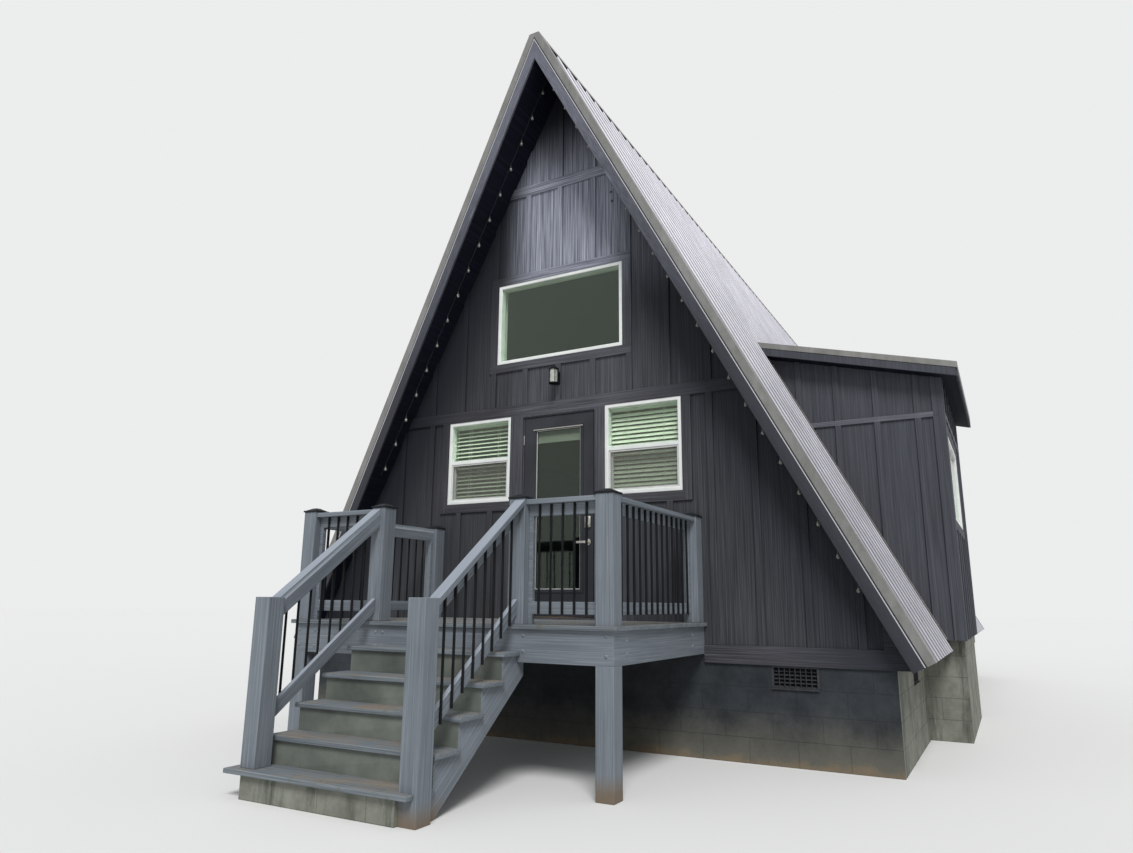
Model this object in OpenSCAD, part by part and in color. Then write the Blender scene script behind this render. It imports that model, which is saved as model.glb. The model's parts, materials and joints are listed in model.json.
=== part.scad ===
// A-frame cabin on a concrete foundation, with a shed dormer, a front deck and a stair.
// Millimetres, +Z up. The origin is at the lowest ground, on the house's centre line,
// in the middle of the front wall's thickness. +Y runs into the house, +X to its right
// as seen from the front.

/* [House] */
// Length between the outer faces of the two gable walls
house_l = 10970; // [9000:10:13000]
// Width of the foundation, outside
foundation_w = 6200; // [5900:10:6300]
// Height of the foundation above the lowest ground
foundation_h = 870; // [700:5:1100]
// Thickness of the foundation walls
foundation_t = 200; // [150:5:300]
// Thickness of the ground floor, joists and boards together
floor_t = 280; // [240:5:320]
// Thickness of the gable walls and of the dormer's front and rear walls
wall_t = 140; // [100:5:180]
// Thickness of the siding, which covers the ground floor's edge
siding_t = 12; // [9:1:16]
// Thickness of the upper floor
loft_t = 240; // [200:5:280]
// Clearance where pieces meet along a slope
fit_gap = 0.2; // [0.1:0.1:0.5]
// Width of a foundation vent
vent_w = 390; // [300:5:420]
// Height of a foundation vent
vent_h = 190; // [140:5:200]
// Height of a vent's lower edge above the lowest ground
vent_z = 606; // [500:1:620]
// Distance of a front vent's centre from the house's centre line
vent_x = 2305; // [2100:5:2500]
// Distance of a side vent's centre behind the front wall
vent_back = 1250; // [900:10:1600]

/* [Roof] */
// Angle between a roof slope and the vertical, in degrees
roof_angle = 27.3; // [26.8:0.1:27.8]
// Height of the roof slopes' meeting line above the ground floor
roof_rise = 6253; // [6150:5:6350]
// Height of the roof's foot below the ground floor
eave_drop = 285; // [250:5:320]
// Thickness of the roof, rafters and boards together
roof_t = 165; // [140:5:190]
// How far the ridge is cut flat below the slopes' meeting line
ridge_cut = 73; // [60:1:90]
// Overhang of the roof past a gable wall, at the foot
overhang_foot = 140; // [100:5:200]
// Overhang of the roof past a gable wall, at the ridge
overhang_ridge = 580; // [400:5:700]

/* [Roof metal] */
// Thickness of the metal sheets
sheet_t = 3; // [2:0.5:4]
// Height of the ribs above the roof boards
rib_h = 22; // [16:1:30]
// Distance between ribs
rib_pitch = 229; // [180:1:305]
// Width of a rib at its base
rib_base = 52; // [40:1:60]
// Width of a rib at its top
rib_top = 24; // [16:1:30]
// Height of the ridge cap's top above the flat-cut ridge
cap_rise = 15; // [10:1:20]
// Length of the ridge cap's legs down each slope
ridge_leg_l = 180; // [120:5:240]
// Height of the metal band along a rake, below the roof boards
rake_band_h = 65; // [50:1:80]
// Thickness of the metal band along a rake
rake_band_t = 18; // [12:1:24]
// Width of the band's flange over the ribs
rake_flange_w = 90; // [60:5:120]
// Thickness of the rake board under the metal band
rake_board_t = 25; // [20:1:38]
// Open drip gap between the metal band and the rake board
drip_gap = 6; // [3:1:10]
// Height of the folded hem along the metal band's lower edge
hem_h = 9; // [6:1:14]
// How far the folded hem stands out of the metal band
hem_out = 4; // [2:1:6]

/* [Trim] */
// Thickness of trim boards and battens
trim_t = 19; // [15:1:25]
// Width of the trim around windows and door
casing_w = 95; // [80:1:120]
// Width of the boards that cross a gable wall
belt_w = 120; // [90:1:140]
// Height of the upper crossing board above the ground floor
girt_h = 4640; // [4500:5:4800]
// Height of the skirt board's lower edge above the lowest ground
skirt_z = 795; // [650:5:830]
// Width of the skirt board
skirt_w = 154; // [140:1:180]
// Distance between battens
batten_pitch = 406.4; // [380:0.1:430]
// Width of a batten
batten_w = 64; // [45:1:70]
// Distance of the middle batten from the house's centre line
batten_x = 15; // [0:1:30]
// Half of the distance between the closure boards at the roof's feet
closure_x = 3015; // [2980:5:3040]
// Height of the closure boards' top above the ground floor
closure_h = 150; // [120:5:200]

/* [Windows] */
// Width of a lower window
low_win_w = 808; // [760:1:840]
// Height of a lower window, whose head is right under the upper storey's joists
low_win_h = 907; // [850:1:930]
// Distance of a lower window's centre from the house's centre line
low_win_x = 961; // [950:1:975]
// Width of the upper window
up_win_w = 1514; // [1450:1:1560]
// Height of the upper window
up_win_h = 916; // [880:1:960]
// Height of the upper window's sill above the upper storey's joists
up_win_sill = 602; // [575:1:715]
// Width of a window frame's face
frame_w = 38; // [30:1:50]
// Depth of a window frame
frame_d = 82; // [70:1:90]
// How far a window frame stands out of the siding
frame_out = 12; // [8:1:16]
// Width of a sash's face
sash_w = 30; // [24:1:36]
// Width of the glazing bead around a fixed pane
bead_w = 13; // [9:1:18]
// Width of an insect screen's frame
screen_w = 17; // [12:1:22]
// Thickness of a pane
pane_t = 6; // [4:1:8]
// Distance between a blind's slats
slat_pitch = 44; // [38:1:50]
// Depth of a blind's slat
slat_d = 46; // [36:1:50]
// Thickness of a blind's slat
slat_t = 3; // [2:0.5:4]
// Tilt of the left blind's slats, in degrees
slat_tilt_left = 30; // [0:1:60]
// Tilt of the right blind's slats, in degrees
slat_tilt_right = 48; // [0:1:60]
// Thickness of the boards that line a window's opening
lining_t = 18; // [12:1:24]
// How far a lining stands out of a wall's inner face
lining_out = 8; // [4:1:12]
// Gap around a blind
blind_gap = 5; // [3:1:8]

/* [Door] */
// Width of the door leaf
door_w = 813; // [780:1:830]
// Height of the door leaf
door_h = 2028; // [1980:1:2028]
// Thickness of the door leaf
door_t = 44; // [40:1:50]
// Distance of the door's centre from the house's centre line
door_x = 20; // [10:1:30]
// Gap between the door leaf and its frame
door_gap = 7; // [6:0.5:8]
// Thickness of the door frame's sides
jamb_t = 20; // [18:1:24]
// Height of the threshold
threshold_h = 5; // [4:1:8]
// Height of the door frame's head, under the upper storey's joists
door_head_h = 38; // [30:1:45]
// Width of the door's glass
door_glass_w = 520; // [480:1:560]
// Height of the glass's lower edge above the door's lower edge
door_glass_sill = 262; // [240:1:300]
// Distance of the glass's upper edge below the door's upper edge
door_glass_drop = 141; // [120:1:180]
// Width of the raised frame around the door's glass
door_lip_w = 32; // [20:1:45]
// Thickness of the raised frame around the door's glass
door_lip_t = 8; // [5:1:12]
// Height of the drip strip over the door's glass
drip_h = 12; // [8:1:16]
// Height of the door handle above the door's lower edge
handle_h = 715; // [700:5:1000]
// Height of the lock above the handle
lock_h = 197; // [150:1:220]
// Height of a hinge
hinge_h = 100; // [80:5:120]
// Distance of the upper and lower hinges from the door's ends
hinge_inset = 180; // [150:5:220]
// Radius of a hinge's barrel
hinge_r = 5.5; // [5:0.1:5.8]
// Radius of a hinge's pin
hinge_pin_r = 3; // [2.5:0.1:3.5]

/* [Dormer] */
// Distance of the dormer's front wall behind the front gable wall
dormer_back = 2000; // [1800:10:2400]
// Length of the dormer, outside
dormer_l = 2400; // [2250:10:2800]
// How far the dormer's side wall stands out past the roof, at the dormer's lower edge
dormer_reach = 178; // [160:1:220]
// Thickness of the dormer's walls
dormer_t = 120; // [100:5:140]
// Height of the dormer's lower edge above the lowest ground
dormer_foot = 966; // [940:1:1040]
// Height of the dormer roof's outer edge above the ground floor
dormer_eave_h = 2586; // [2500:5:2700]
// Slope of the dormer's roof, in degrees
dormer_angle = 14.4; // [12:0.1:16]
// Thickness of the dormer's roof
dormer_roof_t = 125; // [110:5:140]
// Overhang of the dormer's roof, sideways
dormer_eave = 165; // [140:5:200]
// Overhang of the dormer's roof, at its two ends
dormer_over = 160; // [140:5:220]
// Width of the dormer's window
dormer_win_w = 1460; // [1300:5:1600]
// Height of the dormer's window
dormer_win_h = 905; // [850:1:950]
// Height of the dormer window's sill above the ground floor
dormer_win_sill = 1015; // [980:1:1050]
// Width of the trim at the dormer's corners
corner_w = 95; // [80:1:100]
// Distance of the dormer's window behind its corner board
dormer_win_gap = 15; // [0:5:60]
// Width of the board that crosses the dormer's walls
dormer_belt_w = 55; // [50:1:95]
// Height of the metal band on the dormer roof's edge, below its boards
dormer_band_h = 40; // [30:1:50]
// Thickness of the boards and bands around the dormer's roof
dormer_rake_t = 20; // [16:1:25]
// Width of the flashing along the dormer's walls
flashing_w = 90; // [60:5:120]

/* [Deck] */
// Width of the deck, outside
deck_w = 3060; // [2900:10:3200]
// Depth of the deck, from the siding to the outer face of its posts
deck_d = 1855; // [1700:5:2100]
// How far the deck lies below the ground floor
deck_step = 15; // [5:1:60]
// Thickness of the deck boards and treads
board_t = 32; // [25:1:38]
// How far the deck boards reach past the rim
board_over = 30; // [20:1:40]
// Height of the deck's rim and joists
joist_h = 235; // [184:1:240]
// Thickness of rim, joists and rail timber
timber_t = 38; // [35:1:45]
// Side of a square post
post_w = 140; // [120:1:150]
// Height of the posts above the deck
post_h = 930; // [900:5:1000]
// Height of a post cap
cap_h = 38; // [25:1:50]
// How far a post cap reaches past its post
cap_over = 9; // [6:1:14]
// Height of a rail's top above the deck
rail_h = 920; // [860:5:930]
// Width of a rail's flat top board
rail_w = 89; // [80:1:100]
// Height of a rail's upper and lower bars
bar_h = 89; // [80:1:100]
// Clear height under a rail's lower bar
rail_gap = 75; // [50:5:100]
// Diameter of a baluster
baluster_d = 19; // [16:1:25]
// Largest distance between balusters
baluster_pitch = 118; // [100:1:130]

/* [Stair] */
// Distance of the stair's centre from the house's centre line
stair_x = 34; // [0:1:60]
// Clear width between the stair's posts
stair_clear = 1242; // [1150:2:1300]
// Number of treads below the deck
treads_n = 5; // [5:1:5]
// Depth of a step, nosing to nosing
step_run = 244; // [230:1:260]
// How far a nosing stands out over its riser
nosing = 25; // [20:1:35]
// Thickness of a riser board
riser_t = 19; // [15:1:22]
// Width of the treads
tread_w = 1493; // [1440:1:1520]
// Distance from the highest tread's nosing to the deck's edge
top_run_l = 182; // [160:1:230]
// How far a tread reaches past the outer stringers
tread_over = 30; // [20:1:40]
// Width of the lowest tread
first_tread_w = 1584; // [1560:1:1600]
// Distance of the lowest tread's centre from the house's centre line
first_tread_x = -22; // [-40:1:34]
// Depth of a stringer at right angles to its slope
stringer_d = 286; // [260:2:290]
// How far the stringers reach under the deck
stringer_under = 95; // [60:5:120]
// Distance of the stair's lower posts behind the lowest nosing
newel_back = 66; // [50:1:80]
// Gap between the stringers and the stair's lower posts
stringer_gap = 4; // [2:1:8]
// Distance of the stair's footing behind the lowest nosing
footing_back = 40; // [30:1:60]
// Height of the stair's lower posts above the lowest ground
newel_h = 1315; // [1250:5:1350]
// Depth of a stair rail, from its top to the lower bar's underside
stair_rail_deep = 850; // [780:5:860]

/* [String lights] */
// Distance between bulbs
bulb_pitch = 305; // [250:5:400]
// Radius of a bulb
bulb_r = 17; // [12:0.5:20]
// Radius of the cord
cord_r = 3; // [2:0.5:4]
// Height of the lowest bulb on the left above the ground floor
string_left_h = 1420; // [1000:10:2000]
// Height of the lowest bulb on the right above the ground floor
string_right_h = 150; // [100:10:2000]

/* [Lantern] */
// Height of the wall lantern's middle above the upper storey's joists
lantern_h = 345; // [315:5:415]
// Radius of the lantern's cage
lantern_r = 52; // [40:1:60]
// Distance of the lantern's middle from the siding
lantern_out = 105; // [95:1:130]

/* [Hidden] */
$fn = 32;

// Levels and planes
front_y = -wall_t / 2;
rear_y = front_y + house_l;
floor_z = foundation_h + floor_t;
door_z = floor_z + threshold_h + door_gap;
door_head_z = door_z + door_h + door_gap;
loft_z = door_head_z + door_head_h;
half_w = foundation_w / 2;
apex_z = floor_z + roof_rise;
foot_z = floor_z - eave_drop;
ridge_z = apex_z - ridge_cut;
slope_l = (apex_z - foot_z) / cos(roof_angle);
cap_in = rib_h + fit_gap;
cap_out = cap_in + sheet_t;
cap_top = ridge_z + cap_rise;
rake_lean = (overhang_ridge - overhang_foot) / (ridge_z - foot_z);
far = 20000;

// Roof geometry: s runs down the slope from the meeting line, t outward from the boards
function slope_pt(s, t) = [
    s * sin(roof_angle) + t * cos(roof_angle),
    apex_z - s * cos(roof_angle) + t * sin(roof_angle)
];
function slope_x(z, t) = (apex_z - z) * tan(roof_angle) + t / cos(roof_angle);
function slope_z(x, t) = apex_z - (x - t / cos(roof_angle)) / tan(roof_angle);
function rake_y(z) = front_y - overhang_foot - (z - foot_z) * rake_lean;

// Dormer geometry
dormer_y0 = front_y + dormer_back;
dormer_y1 = dormer_y0 + dormer_l;
dormer_out = round(slope_x(dormer_foot, 0) + dormer_reach);
dormer_sit = rib_h + fit_gap;
dormer_eave_x = dormer_out + dormer_eave;
dormer_eave_z = floor_z + dormer_eave_h;
function dormer_z(x, t) =
    dormer_eave_z + (dormer_eave_x - x) * tan(dormer_angle) + t / cos(dormer_angle);
function meet_x(t_dormer, t_roof) =
    ((apex_z - dormer_z(0, t_dormer)) * tan(roof_angle) + t_roof / cos(roof_angle))
    / (1 - tan(dormer_angle) * tan(roof_angle));
dormer_head_x = meet_x(-dormer_roof_t, 0);
dormer_head_z = dormer_z(dormer_head_x, -dormer_roof_t);

// Openings
door_open_w = door_w + 2 * (door_gap + jamb_t);
door_glass_h = door_h - door_glass_sill - door_glass_drop;
low_win_z = loft_z - low_win_h;
up_win_z = loft_z + up_win_sill;
dormer_win_z = floor_z + dormer_win_sill;
dormer_win_y = dormer_y0 + corner_w + dormer_win_gap + dormer_win_w / 2;
vent_side_y = front_y + vent_back;

// Deck and stair
deck_h = floor_z - deck_step;
deck_front = front_y - deck_d;
deck_half = deck_w / 2;
joist_z = deck_h - board_t - joist_h;
stair_post_x = stair_clear / 2 + post_w / 2;
post_top = deck_h + post_h;
rise = deck_h / (treads_n + 1);
pitch = atan(rise / step_run);
first_nosing = deck_front - board_over - top_run_l - (treads_n - 1) * step_run;
newel_y = first_nosing + newel_back;

// Extrudes an outline drawn in X and Z along Y
module along_y(y0, y1) {
    translate([0, y1, 0]) rotate([90, 0, 0]) linear_extrude(y1 - y0) children();
}

// Extrudes an outline drawn in Y and Z along X
module along_x(x0, x1) {
    translate([x0, 0, 0]) rotate([90, 0, 90]) linear_extrude(x1 - x0) children();
}

module box(x0, x1, y0, y1, z0, z1) {
    translate([x0, y0, z0]) cube([x1 - x0, y1 - y0, z1 - z0]);
}

module rect(x0, x1, z0, z1) {
    translate([x0, z0]) square([x1 - x0, z1 - z0]);
}

module both_sides() {
    children();
    mirror([1, 0, 0]) children();
}

// The same piece at the rear gable, turned round to face the other way
module at_rear() {
    translate([0, front_y + rear_y, 0]) mirror([0, 1, 0]) children();
}

// Everything between the front and rear rake planes, moved out by a and b
module between_rakes(a, b, top) {
    along_x(-far, far)
    polygon([
        [rake_y(0) - a, 0], [rake_y(top) - a, top],
        [front_y + rear_y - rake_y(top) + b, top], [front_y + rear_y - rake_y(0) + b, 0]
    ]);
}

// A layer in front of the front rake plane, from a to b in front of it
module before_rake(a, b, top) {
    along_x(-far, far)
    polygon([
        [rake_y(0) - b, 0], [rake_y(top) - b, top],
        [rake_y(top) - a, top], [rake_y(0) - a, 0]
    ]);
}

// Outline of one slope's layer from t0 to t1, cut flat at height top
module slope_2d(t0, t1, top) {
    polygon([
        [0, min(slope_z(0, t0), top)],
        [0, top],
        [max(slope_x(top, t1), 0), top],
        slope_pt(slope_l, t1),
        slope_pt(slope_l, t0)
    ]);
}

// The space under both slopes
module under_roof_2d() {
    t = -roof_t - fit_gap;
    polygon([[-slope_x(0, t), 0], [slope_x(0, t), 0], [0, slope_z(0, t)]]);
}

// Metal sheet with ribs, drawn across its ribs: length along X, height along Y
module ribbed_2d(length) {
    n = floor((length - rib_base) / rib_pitch);
    start = (length - n * rib_pitch) / 2;
    polygon(concat(
        [[0, 0], [0, sheet_t]],
        [for (i = [0:n], c = [
            [-rib_base / 2, sheet_t], [-rib_top / 2, rib_h],
            [rib_top / 2, rib_h], [rib_base / 2, sheet_t]
        ]) [start + i * rib_pitch + c[0], c[1]]],
        [[length, sheet_t], [length, 0]]
    ));
}

// Foundation
module foundation() {
    color("gray")
    difference() {
        union() {
            difference() {
                box(-half_w, half_w, front_y, rear_y, 0, foundation_h);
                box(-half_w + foundation_t, half_w - foundation_t,
                    front_y + foundation_t, rear_y - foundation_t, -1, foundation_h + 1);
            }
            difference() {
                box(half_w, dormer_out - 20, dormer_y0 + dormer_t, dormer_y1 - dormer_t,
                    0, foundation_h);
                box(half_w - 1, dormer_out - 20 - foundation_t,
                    dormer_y0 + dormer_t + foundation_t, dormer_y1 - dormer_t - foundation_t,
                    -1, foundation_h + 1);
            }
        }
        vent_places() vent_hole();
    }
}

module vent_places() {
    both_sides() translate([vent_x, front_y, vent_z]) children();
    both_sides() translate([half_w, vent_side_y, vent_z]) rotate([0, 0, 90]) children();
}

module vent_hole() {
    box(-vent_w / 2, vent_w / 2, -50, foundation_t + 50, 0, vent_h);
}

// One vent, its face at y = 0, with a frame, sloping slats, a lattice and a sill
module vent() {
    rim = 18;
    depth = 60;
    slats = 5;
    bars = 7;
    sill_out = 16;
    sill_h = 9;
    step = (vent_h - 2 * rim) / slats;
    bar_step = (vent_w - 2 * rim) / (bars + 1);
    difference() {
        box(-vent_w / 2, vent_w / 2, 0, depth, 0, vent_h);
        box(-vent_w / 2 + rim, vent_w / 2 - rim, -1, depth + 1, rim, vent_h - rim);
    }
    for (i = [0:slats - 1]) {
        translate([0, 0, rim + i * step])
        along_x(-vent_w / 2 + rim, vent_w / 2 - rim)
        polygon([[8, 0], [14, 0], [depth - 10, step - 8], [depth - 16, step - 8]]);
    }
    for (i = [1:bars]) {
        x = -vent_w / 2 + rim + i * bar_step;
        box(x - 3, x + 3, 1, 7, rim - 1, vent_h - rim + 1);
    }
    box(-vent_w / 2, vent_w / 2, -sill_out, 1, 0, sill_h);
}

module foundation_vents() {
    color("dimgray") vent_places() vent();
}

// Ground floor, which carries the roof's feet, and upper floor
module floor_2d() {
    intersection() {
        rect(-far, far, foundation_h, floor_z);
        under_roof_2d();
    }
}

module floor() {
    color("burlywood") along_y(front_y + siding_t, rear_y - siding_t) floor_2d();
}

module loft_floor() {
    color("burlywood")
    along_y(front_y + wall_t, rear_y - wall_t)
    intersection() {
        rect(-half_w, half_w, loft_z, loft_z + loft_t);
        under_roof_2d();
    }
}

// Gable walls
module low_window_2d(grow) {
    both_sides()
    rect(low_win_x - low_win_w / 2 - grow, low_win_x + low_win_w / 2 + grow,
        low_win_z - grow, low_win_z + low_win_h + grow);
}

module up_window_2d(grow) {
    rect(-up_win_w / 2 - grow, up_win_w / 2 + grow, up_win_z - grow,
        up_win_z + up_win_h + grow);
}

module door_open_2d() {
    rect(door_x - door_open_w / 2, door_x + door_open_w / 2, floor_z, loft_z);
}

// The door casing's inner edge, which leaves half of the frame's edge in view
module door_reveal_2d() {
    half = door_open_w / 2 - jamb_t / 2;
    rect(door_x - half, door_x + half, floor_z, door_head_z + jamb_t / 2);
}

module wall_2d(x0, x1, z0, z1) {
    intersection() {
        rect(x0, x1, z0, z1);
        under_roof_2d();
    }
}

module front_wall_part(x0, x1, z0, z1) {
    along_y(front_y, front_y + wall_t)
    difference() {
        wall_2d(x0, x1, z0, z1);
        low_window_2d(0);
        up_window_2d(0);
        door_open_2d();
    }
}

// The siding's lower end, in front of the ground floor's edge
module siding_lip(x0, x1) {
    along_y(front_y, front_y + siding_t) wall_2d(x0, x1, foundation_h, floor_z);
}

module front_wall_left() {
    color("#26282c") {
        front_wall_part(-far, door_x - door_open_w / 2, floor_z, loft_z);
        siding_lip(-far, door_x);
    }
}

module front_wall_right() {
    color("#26282c") {
        front_wall_part(door_x + door_open_w / 2, far, floor_z, loft_z);
        siding_lip(door_x, far);
    }
}

module front_wall_gable() {
    color("#26282c") front_wall_part(-far, far, loft_z, apex_z);
}

module rear_wall() {
    color("#26282c")
    at_rear() {
        along_y(front_y, front_y + wall_t) wall_2d(-far, far, floor_z, apex_z);
        siding_lip(-far, far);
    }
}

// Main roof
module roof_slope() {
    intersection() {
        along_y(-far, far) slope_2d(-roof_t, 0, ridge_z);
        between_rakes(0, 0, ridge_z);
    }
}

module roof_left() {
    color("#2b2b2e") mirror([1, 0, 0]) roof_slope();
}

module roof_right() {
    color("#2b2b2e")
    difference() {
        roof_slope();
        box(0, far, dormer_y0 + dormer_t, dormer_y1 - dormer_t, 0, dormer_head_z);
    }
}

module roof_metal() {
    start = rake_y(apex_z);
    length = front_y + rear_y - 2 * start;
    intersection() {
        translate([0, start, apex_z])
        rotate([0, 90 - roof_angle, 0]) rotate([90, 0, 90])
        linear_extrude(slope_l) ribbed_2d(length);
        between_rakes(0, 0, ridge_z);
    }
}

module roof_metal_left() {
    color("#8d8c88") mirror([1, 0, 0]) roof_metal();
}

module roof_metal_right() {
    color("#8d8c88")
    difference() {
        roof_metal();
        box(0, far, dormer_y0, dormer_y1, 0, dormer_head_z);
    }
}

module ridge_cap() {
    side = [
        [slope_x(ridge_z, cap_in), ridge_z],
        slope_pt(ridge_leg_l, cap_in),
        slope_pt(ridge_leg_l, cap_out),
        [slope_x(cap_top, cap_out), cap_top]
    ];
    color("#77766f")
    intersection() {
        along_y(-far, far)
        polygon(concat(side, [for (i = [3:-1:0]) [-side[i][0], side[i][1]]]));
        between_rakes(0, 0, apex_z);
    }
}

// Metal bands and boards along the rakes
module rake_metal_front() {
    intersection() {
        along_y(-far, 0) both_sides() slope_2d(-rake_band_h, cap_out, cap_top);
        before_rake(fit_gap, rake_band_t, apex_z);
    }
    intersection() {
        hem_t0 = -rake_band_h - drip_gap / 3;
        hem_t1 = hem_t0 + hem_h;
        hem_l = slope_l - hem_out;
        along_y(-far, 0)
        both_sides()
        polygon([
            [0, slope_z(0, hem_t0)], [0, slope_z(0, hem_t1)],
            slope_pt(hem_l, hem_t1), slope_pt(hem_l, hem_t0)
        ]);
        before_rake(rake_band_t / 2, rake_band_t + hem_out, apex_z);
    }
    intersection() {
        along_y(-far, 0)
        both_sides()
        polygon([
            slope_pt(ridge_leg_l + fit_gap, cap_in), slope_pt(ridge_leg_l + fit_gap, cap_out),
            slope_pt(slope_l, cap_out), slope_pt(slope_l, cap_in)
        ]);
        before_rake(-rake_flange_w, 1, apex_z);
    }
}

module rake_metal() {
    color("#6d6b62") {
        rake_metal_front();
        at_rear() rake_metal_front();
    }
}

module rake_board_front() {
    t1 = -rake_band_h - drip_gap;
    intersection() {
        along_y(-far, 0) both_sides() slope_2d(-roof_t, t1, slope_z(0, t1));
        before_rake(fit_gap, rake_board_t, apex_z);
    }
}

module rake_boards() {
    color("#3c4048") {
        rake_board_front();
        at_rear() rake_board_front();
    }
}

// Trim on the gable walls
module belts_2d() {
    rect(-half_w, half_w, loft_z, loft_z + belt_w);
    rect(-half_w, half_w, floor_z + girt_h, floor_z + girt_h + belt_w);
}

module closures_2d() {
    both_sides()
    rect(closure_x, far, skirt_z, floor_z + closure_h);
}

module skirt_2d(inner) {
    both_sides() rect(inner, closure_x, skirt_z, skirt_z + skirt_w);
}

module front_casings_2d() {
    up_window_2d(casing_w);
    intersection() {
        union() {
            low_window_2d(casing_w);
            rect(door_x - door_open_w / 2 - casing_w, door_x + door_open_w / 2 + casing_w,
                floor_z, loft_z);
            rect(-low_win_x, low_win_x, low_win_z - casing_w, loft_z);
        }
        rect(-far, far, deck_h, loft_z);
    }
}

module front_trim_2d() {
    difference() {
        intersection() {
            union() {
                belts_2d();
                closures_2d();
                skirt_2d(deck_half);
                front_casings_2d();
            }
            under_roof_2d();
        }
        low_window_2d(0);
        up_window_2d(0);
        door_reveal_2d();
    }
}

module rear_trim_2d() {
    intersection() {
        union() {
            belts_2d();
            closures_2d();
            skirt_2d(0);
        }
        under_roof_2d();
    }
}

module gable_trim() {
    color("#2d2f34") {
        along_y(front_y - trim_t, front_y) front_trim_2d();
        at_rear() along_y(front_y - trim_t, front_y) rear_trim_2d();
    }
}

module battens_2d() {
    n = floor(half_w / batten_pitch);
    intersection() {
        for (i = [-n:n]) {
            translate([batten_x + i * batten_pitch - batten_w / 2, 0])
            square([batten_w, apex_z]);
        }
        under_roof_2d();
    }
}

module front_battens_2d() {
    difference() {
        battens_2d();
        rect(-deck_half, deck_half, 0, deck_h);
        rect(-half_w, half_w, 0, skirt_z + skirt_w);
        both_sides()
        rect(corner_post_x - post_w / 2 - cap_over, corner_post_x + post_w / 2 + cap_over,
            deck_h, post_top + cap_h);
        belts_2d();
        closures_2d();
        front_casings_2d();
    }
}

module rear_battens_2d() {
    difference() {
        battens_2d();
        rect(-half_w, half_w, 0, skirt_z + skirt_w);
        belts_2d();
        closures_2d();
    }
}

module gable_battens() {
    color("#26282c") {
        along_y(front_y - trim_t, front_y) front_battens_2d();
        at_rear() along_y(front_y - trim_t, front_y) rear_battens_2d();
    }
}

// Windows are drawn with their outer face at y = 0, their sill at z = 0, centred on x = 0
module ring(w, h, face, y0, y1) {
    difference() {
        box(-w / 2, w / 2, y0, y1, 0, h);
        box(-w / 2 + face, w / 2 - face, y0 - 1, y1 + 1, face, h - face);
    }
}

module hung_window(w, h) {
    mid = h / 2;
    ring(w, h, frame_w, 0, frame_d);
    translate([0, 0, mid - sash_w / 2])
    ring(w - 2 * frame_w, h - mid + sash_w / 2 - frame_w, sash_w, 12, 40);
    translate([0, 0, frame_w])
    ring(w - 2 * frame_w, mid + sash_w / 2 - frame_w, sash_w, 40, 68);
}

module hung_panes(w, h) {
    mid = h / 2;
    x = w / 2 - frame_w - sash_w;
    box(-x, x, 23, 23 + pane_t, mid + sash_w / 2, h - frame_w - sash_w);
    box(-x, x, 51, 51 + pane_t, frame_w + sash_w, mid - sash_w / 2);
}

module fixed_window(w, h) {
    ring(w, h, frame_w, 0, frame_d);
    translate([0, 0, frame_w]) ring(w - 2 * frame_w, h - 2 * frame_w, bead_w, 12, 30);
}

module fixed_pane(w, h) {
    box(-w / 2 + frame_w, w / 2 - frame_w, 30, 30 + pane_t, frame_w, h - frame_w);
}

module at_low_window(side) {
    translate([side * low_win_x, front_y - frame_out, low_win_z]) children();
}

module at_low_windows() {
    at_low_window(-1) children();
    at_low_window(1) children();
}

module at_up_window() {
    translate([0, front_y - frame_out, up_win_z]) children();
}

module at_dormer_window() {
    translate([dormer_out + frame_out, dormer_win_y, dormer_win_z])
    rotate([0, 0, 90]) children();
}

module lower_windows() {
    color("white") at_low_windows() hung_window(low_win_w, low_win_h);
}

module upper_window() {
    color("white") at_up_window() fixed_window(up_win_w, up_win_h);
}

module dormer_window() {
    color("white") at_dormer_window() fixed_window(dormer_win_w, dormer_win_h);
}

module lower_glass() {
    color("#5d6f66", 0.4) at_low_windows() hung_panes(low_win_w, low_win_h);
}

module upper_glass() {
    color("#5d6f66", 0.4) at_up_window() fixed_pane(up_win_w, up_win_h);
}

module dormer_glass() {
    color("#5d6f66", 0.4) at_dormer_window() fixed_pane(dormer_win_w, dormer_win_h);
}

// Frames of the insect screens, in the outer track before the lower sashes
module screen_frames() {
    color("#c9cbc8")
    at_low_windows()
    translate([0, 0, frame_w])
    ring(low_win_w - 2 * frame_w, low_win_h / 2 - sash_w / 2 - frame_w, screen_w, 14, 24);
}

// White boards that line an opening from the window frame to the wall's inner face
module lining(w, h, wall) {
    ring(w, h, lining_t, frame_d, frame_out + wall + lining_out);
}

module window_linings() {
    color("#d8d8d0") {
        at_low_windows() lining(low_win_w, low_win_h, wall_t);
        at_up_window() lining(up_win_w, up_win_h, wall_t);
        at_dormer_window() lining(dormer_win_w, dormer_win_h, dormer_t);
    }
}

// A blind behind a window: head rail and tilted slats on two tapes
module blind(w, h, tilt) {
    y0 = frame_d + blind_gap;
    rail = 40;
    tape_w = 20;
    slats = floor((h - rail) / slat_pitch) - 1;
    box(-w / 2, w / 2, y0, y0 + slat_d, h - rail, h);
    for (i = [1:slats]) {
        translate([0, y0 + slat_d / 2, h - rail - i * slat_pitch])
        rotate([tilt, 0, 0])
        translate([-w / 2 + 6, -slat_d / 2 + 2, -slat_t / 2])
        cube([w - 12, slat_d - 4, slat_t]);
    }
    for (x = [-w / 4, w / 4]) {
        box(x - tape_w / 2, x + tape_w / 2, y0 + slat_d / 2 - 1, y0 + slat_d / 2 + 1,
            h - rail - (slats + 0.5) * slat_pitch, h - rail + 1);
    }
}

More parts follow.
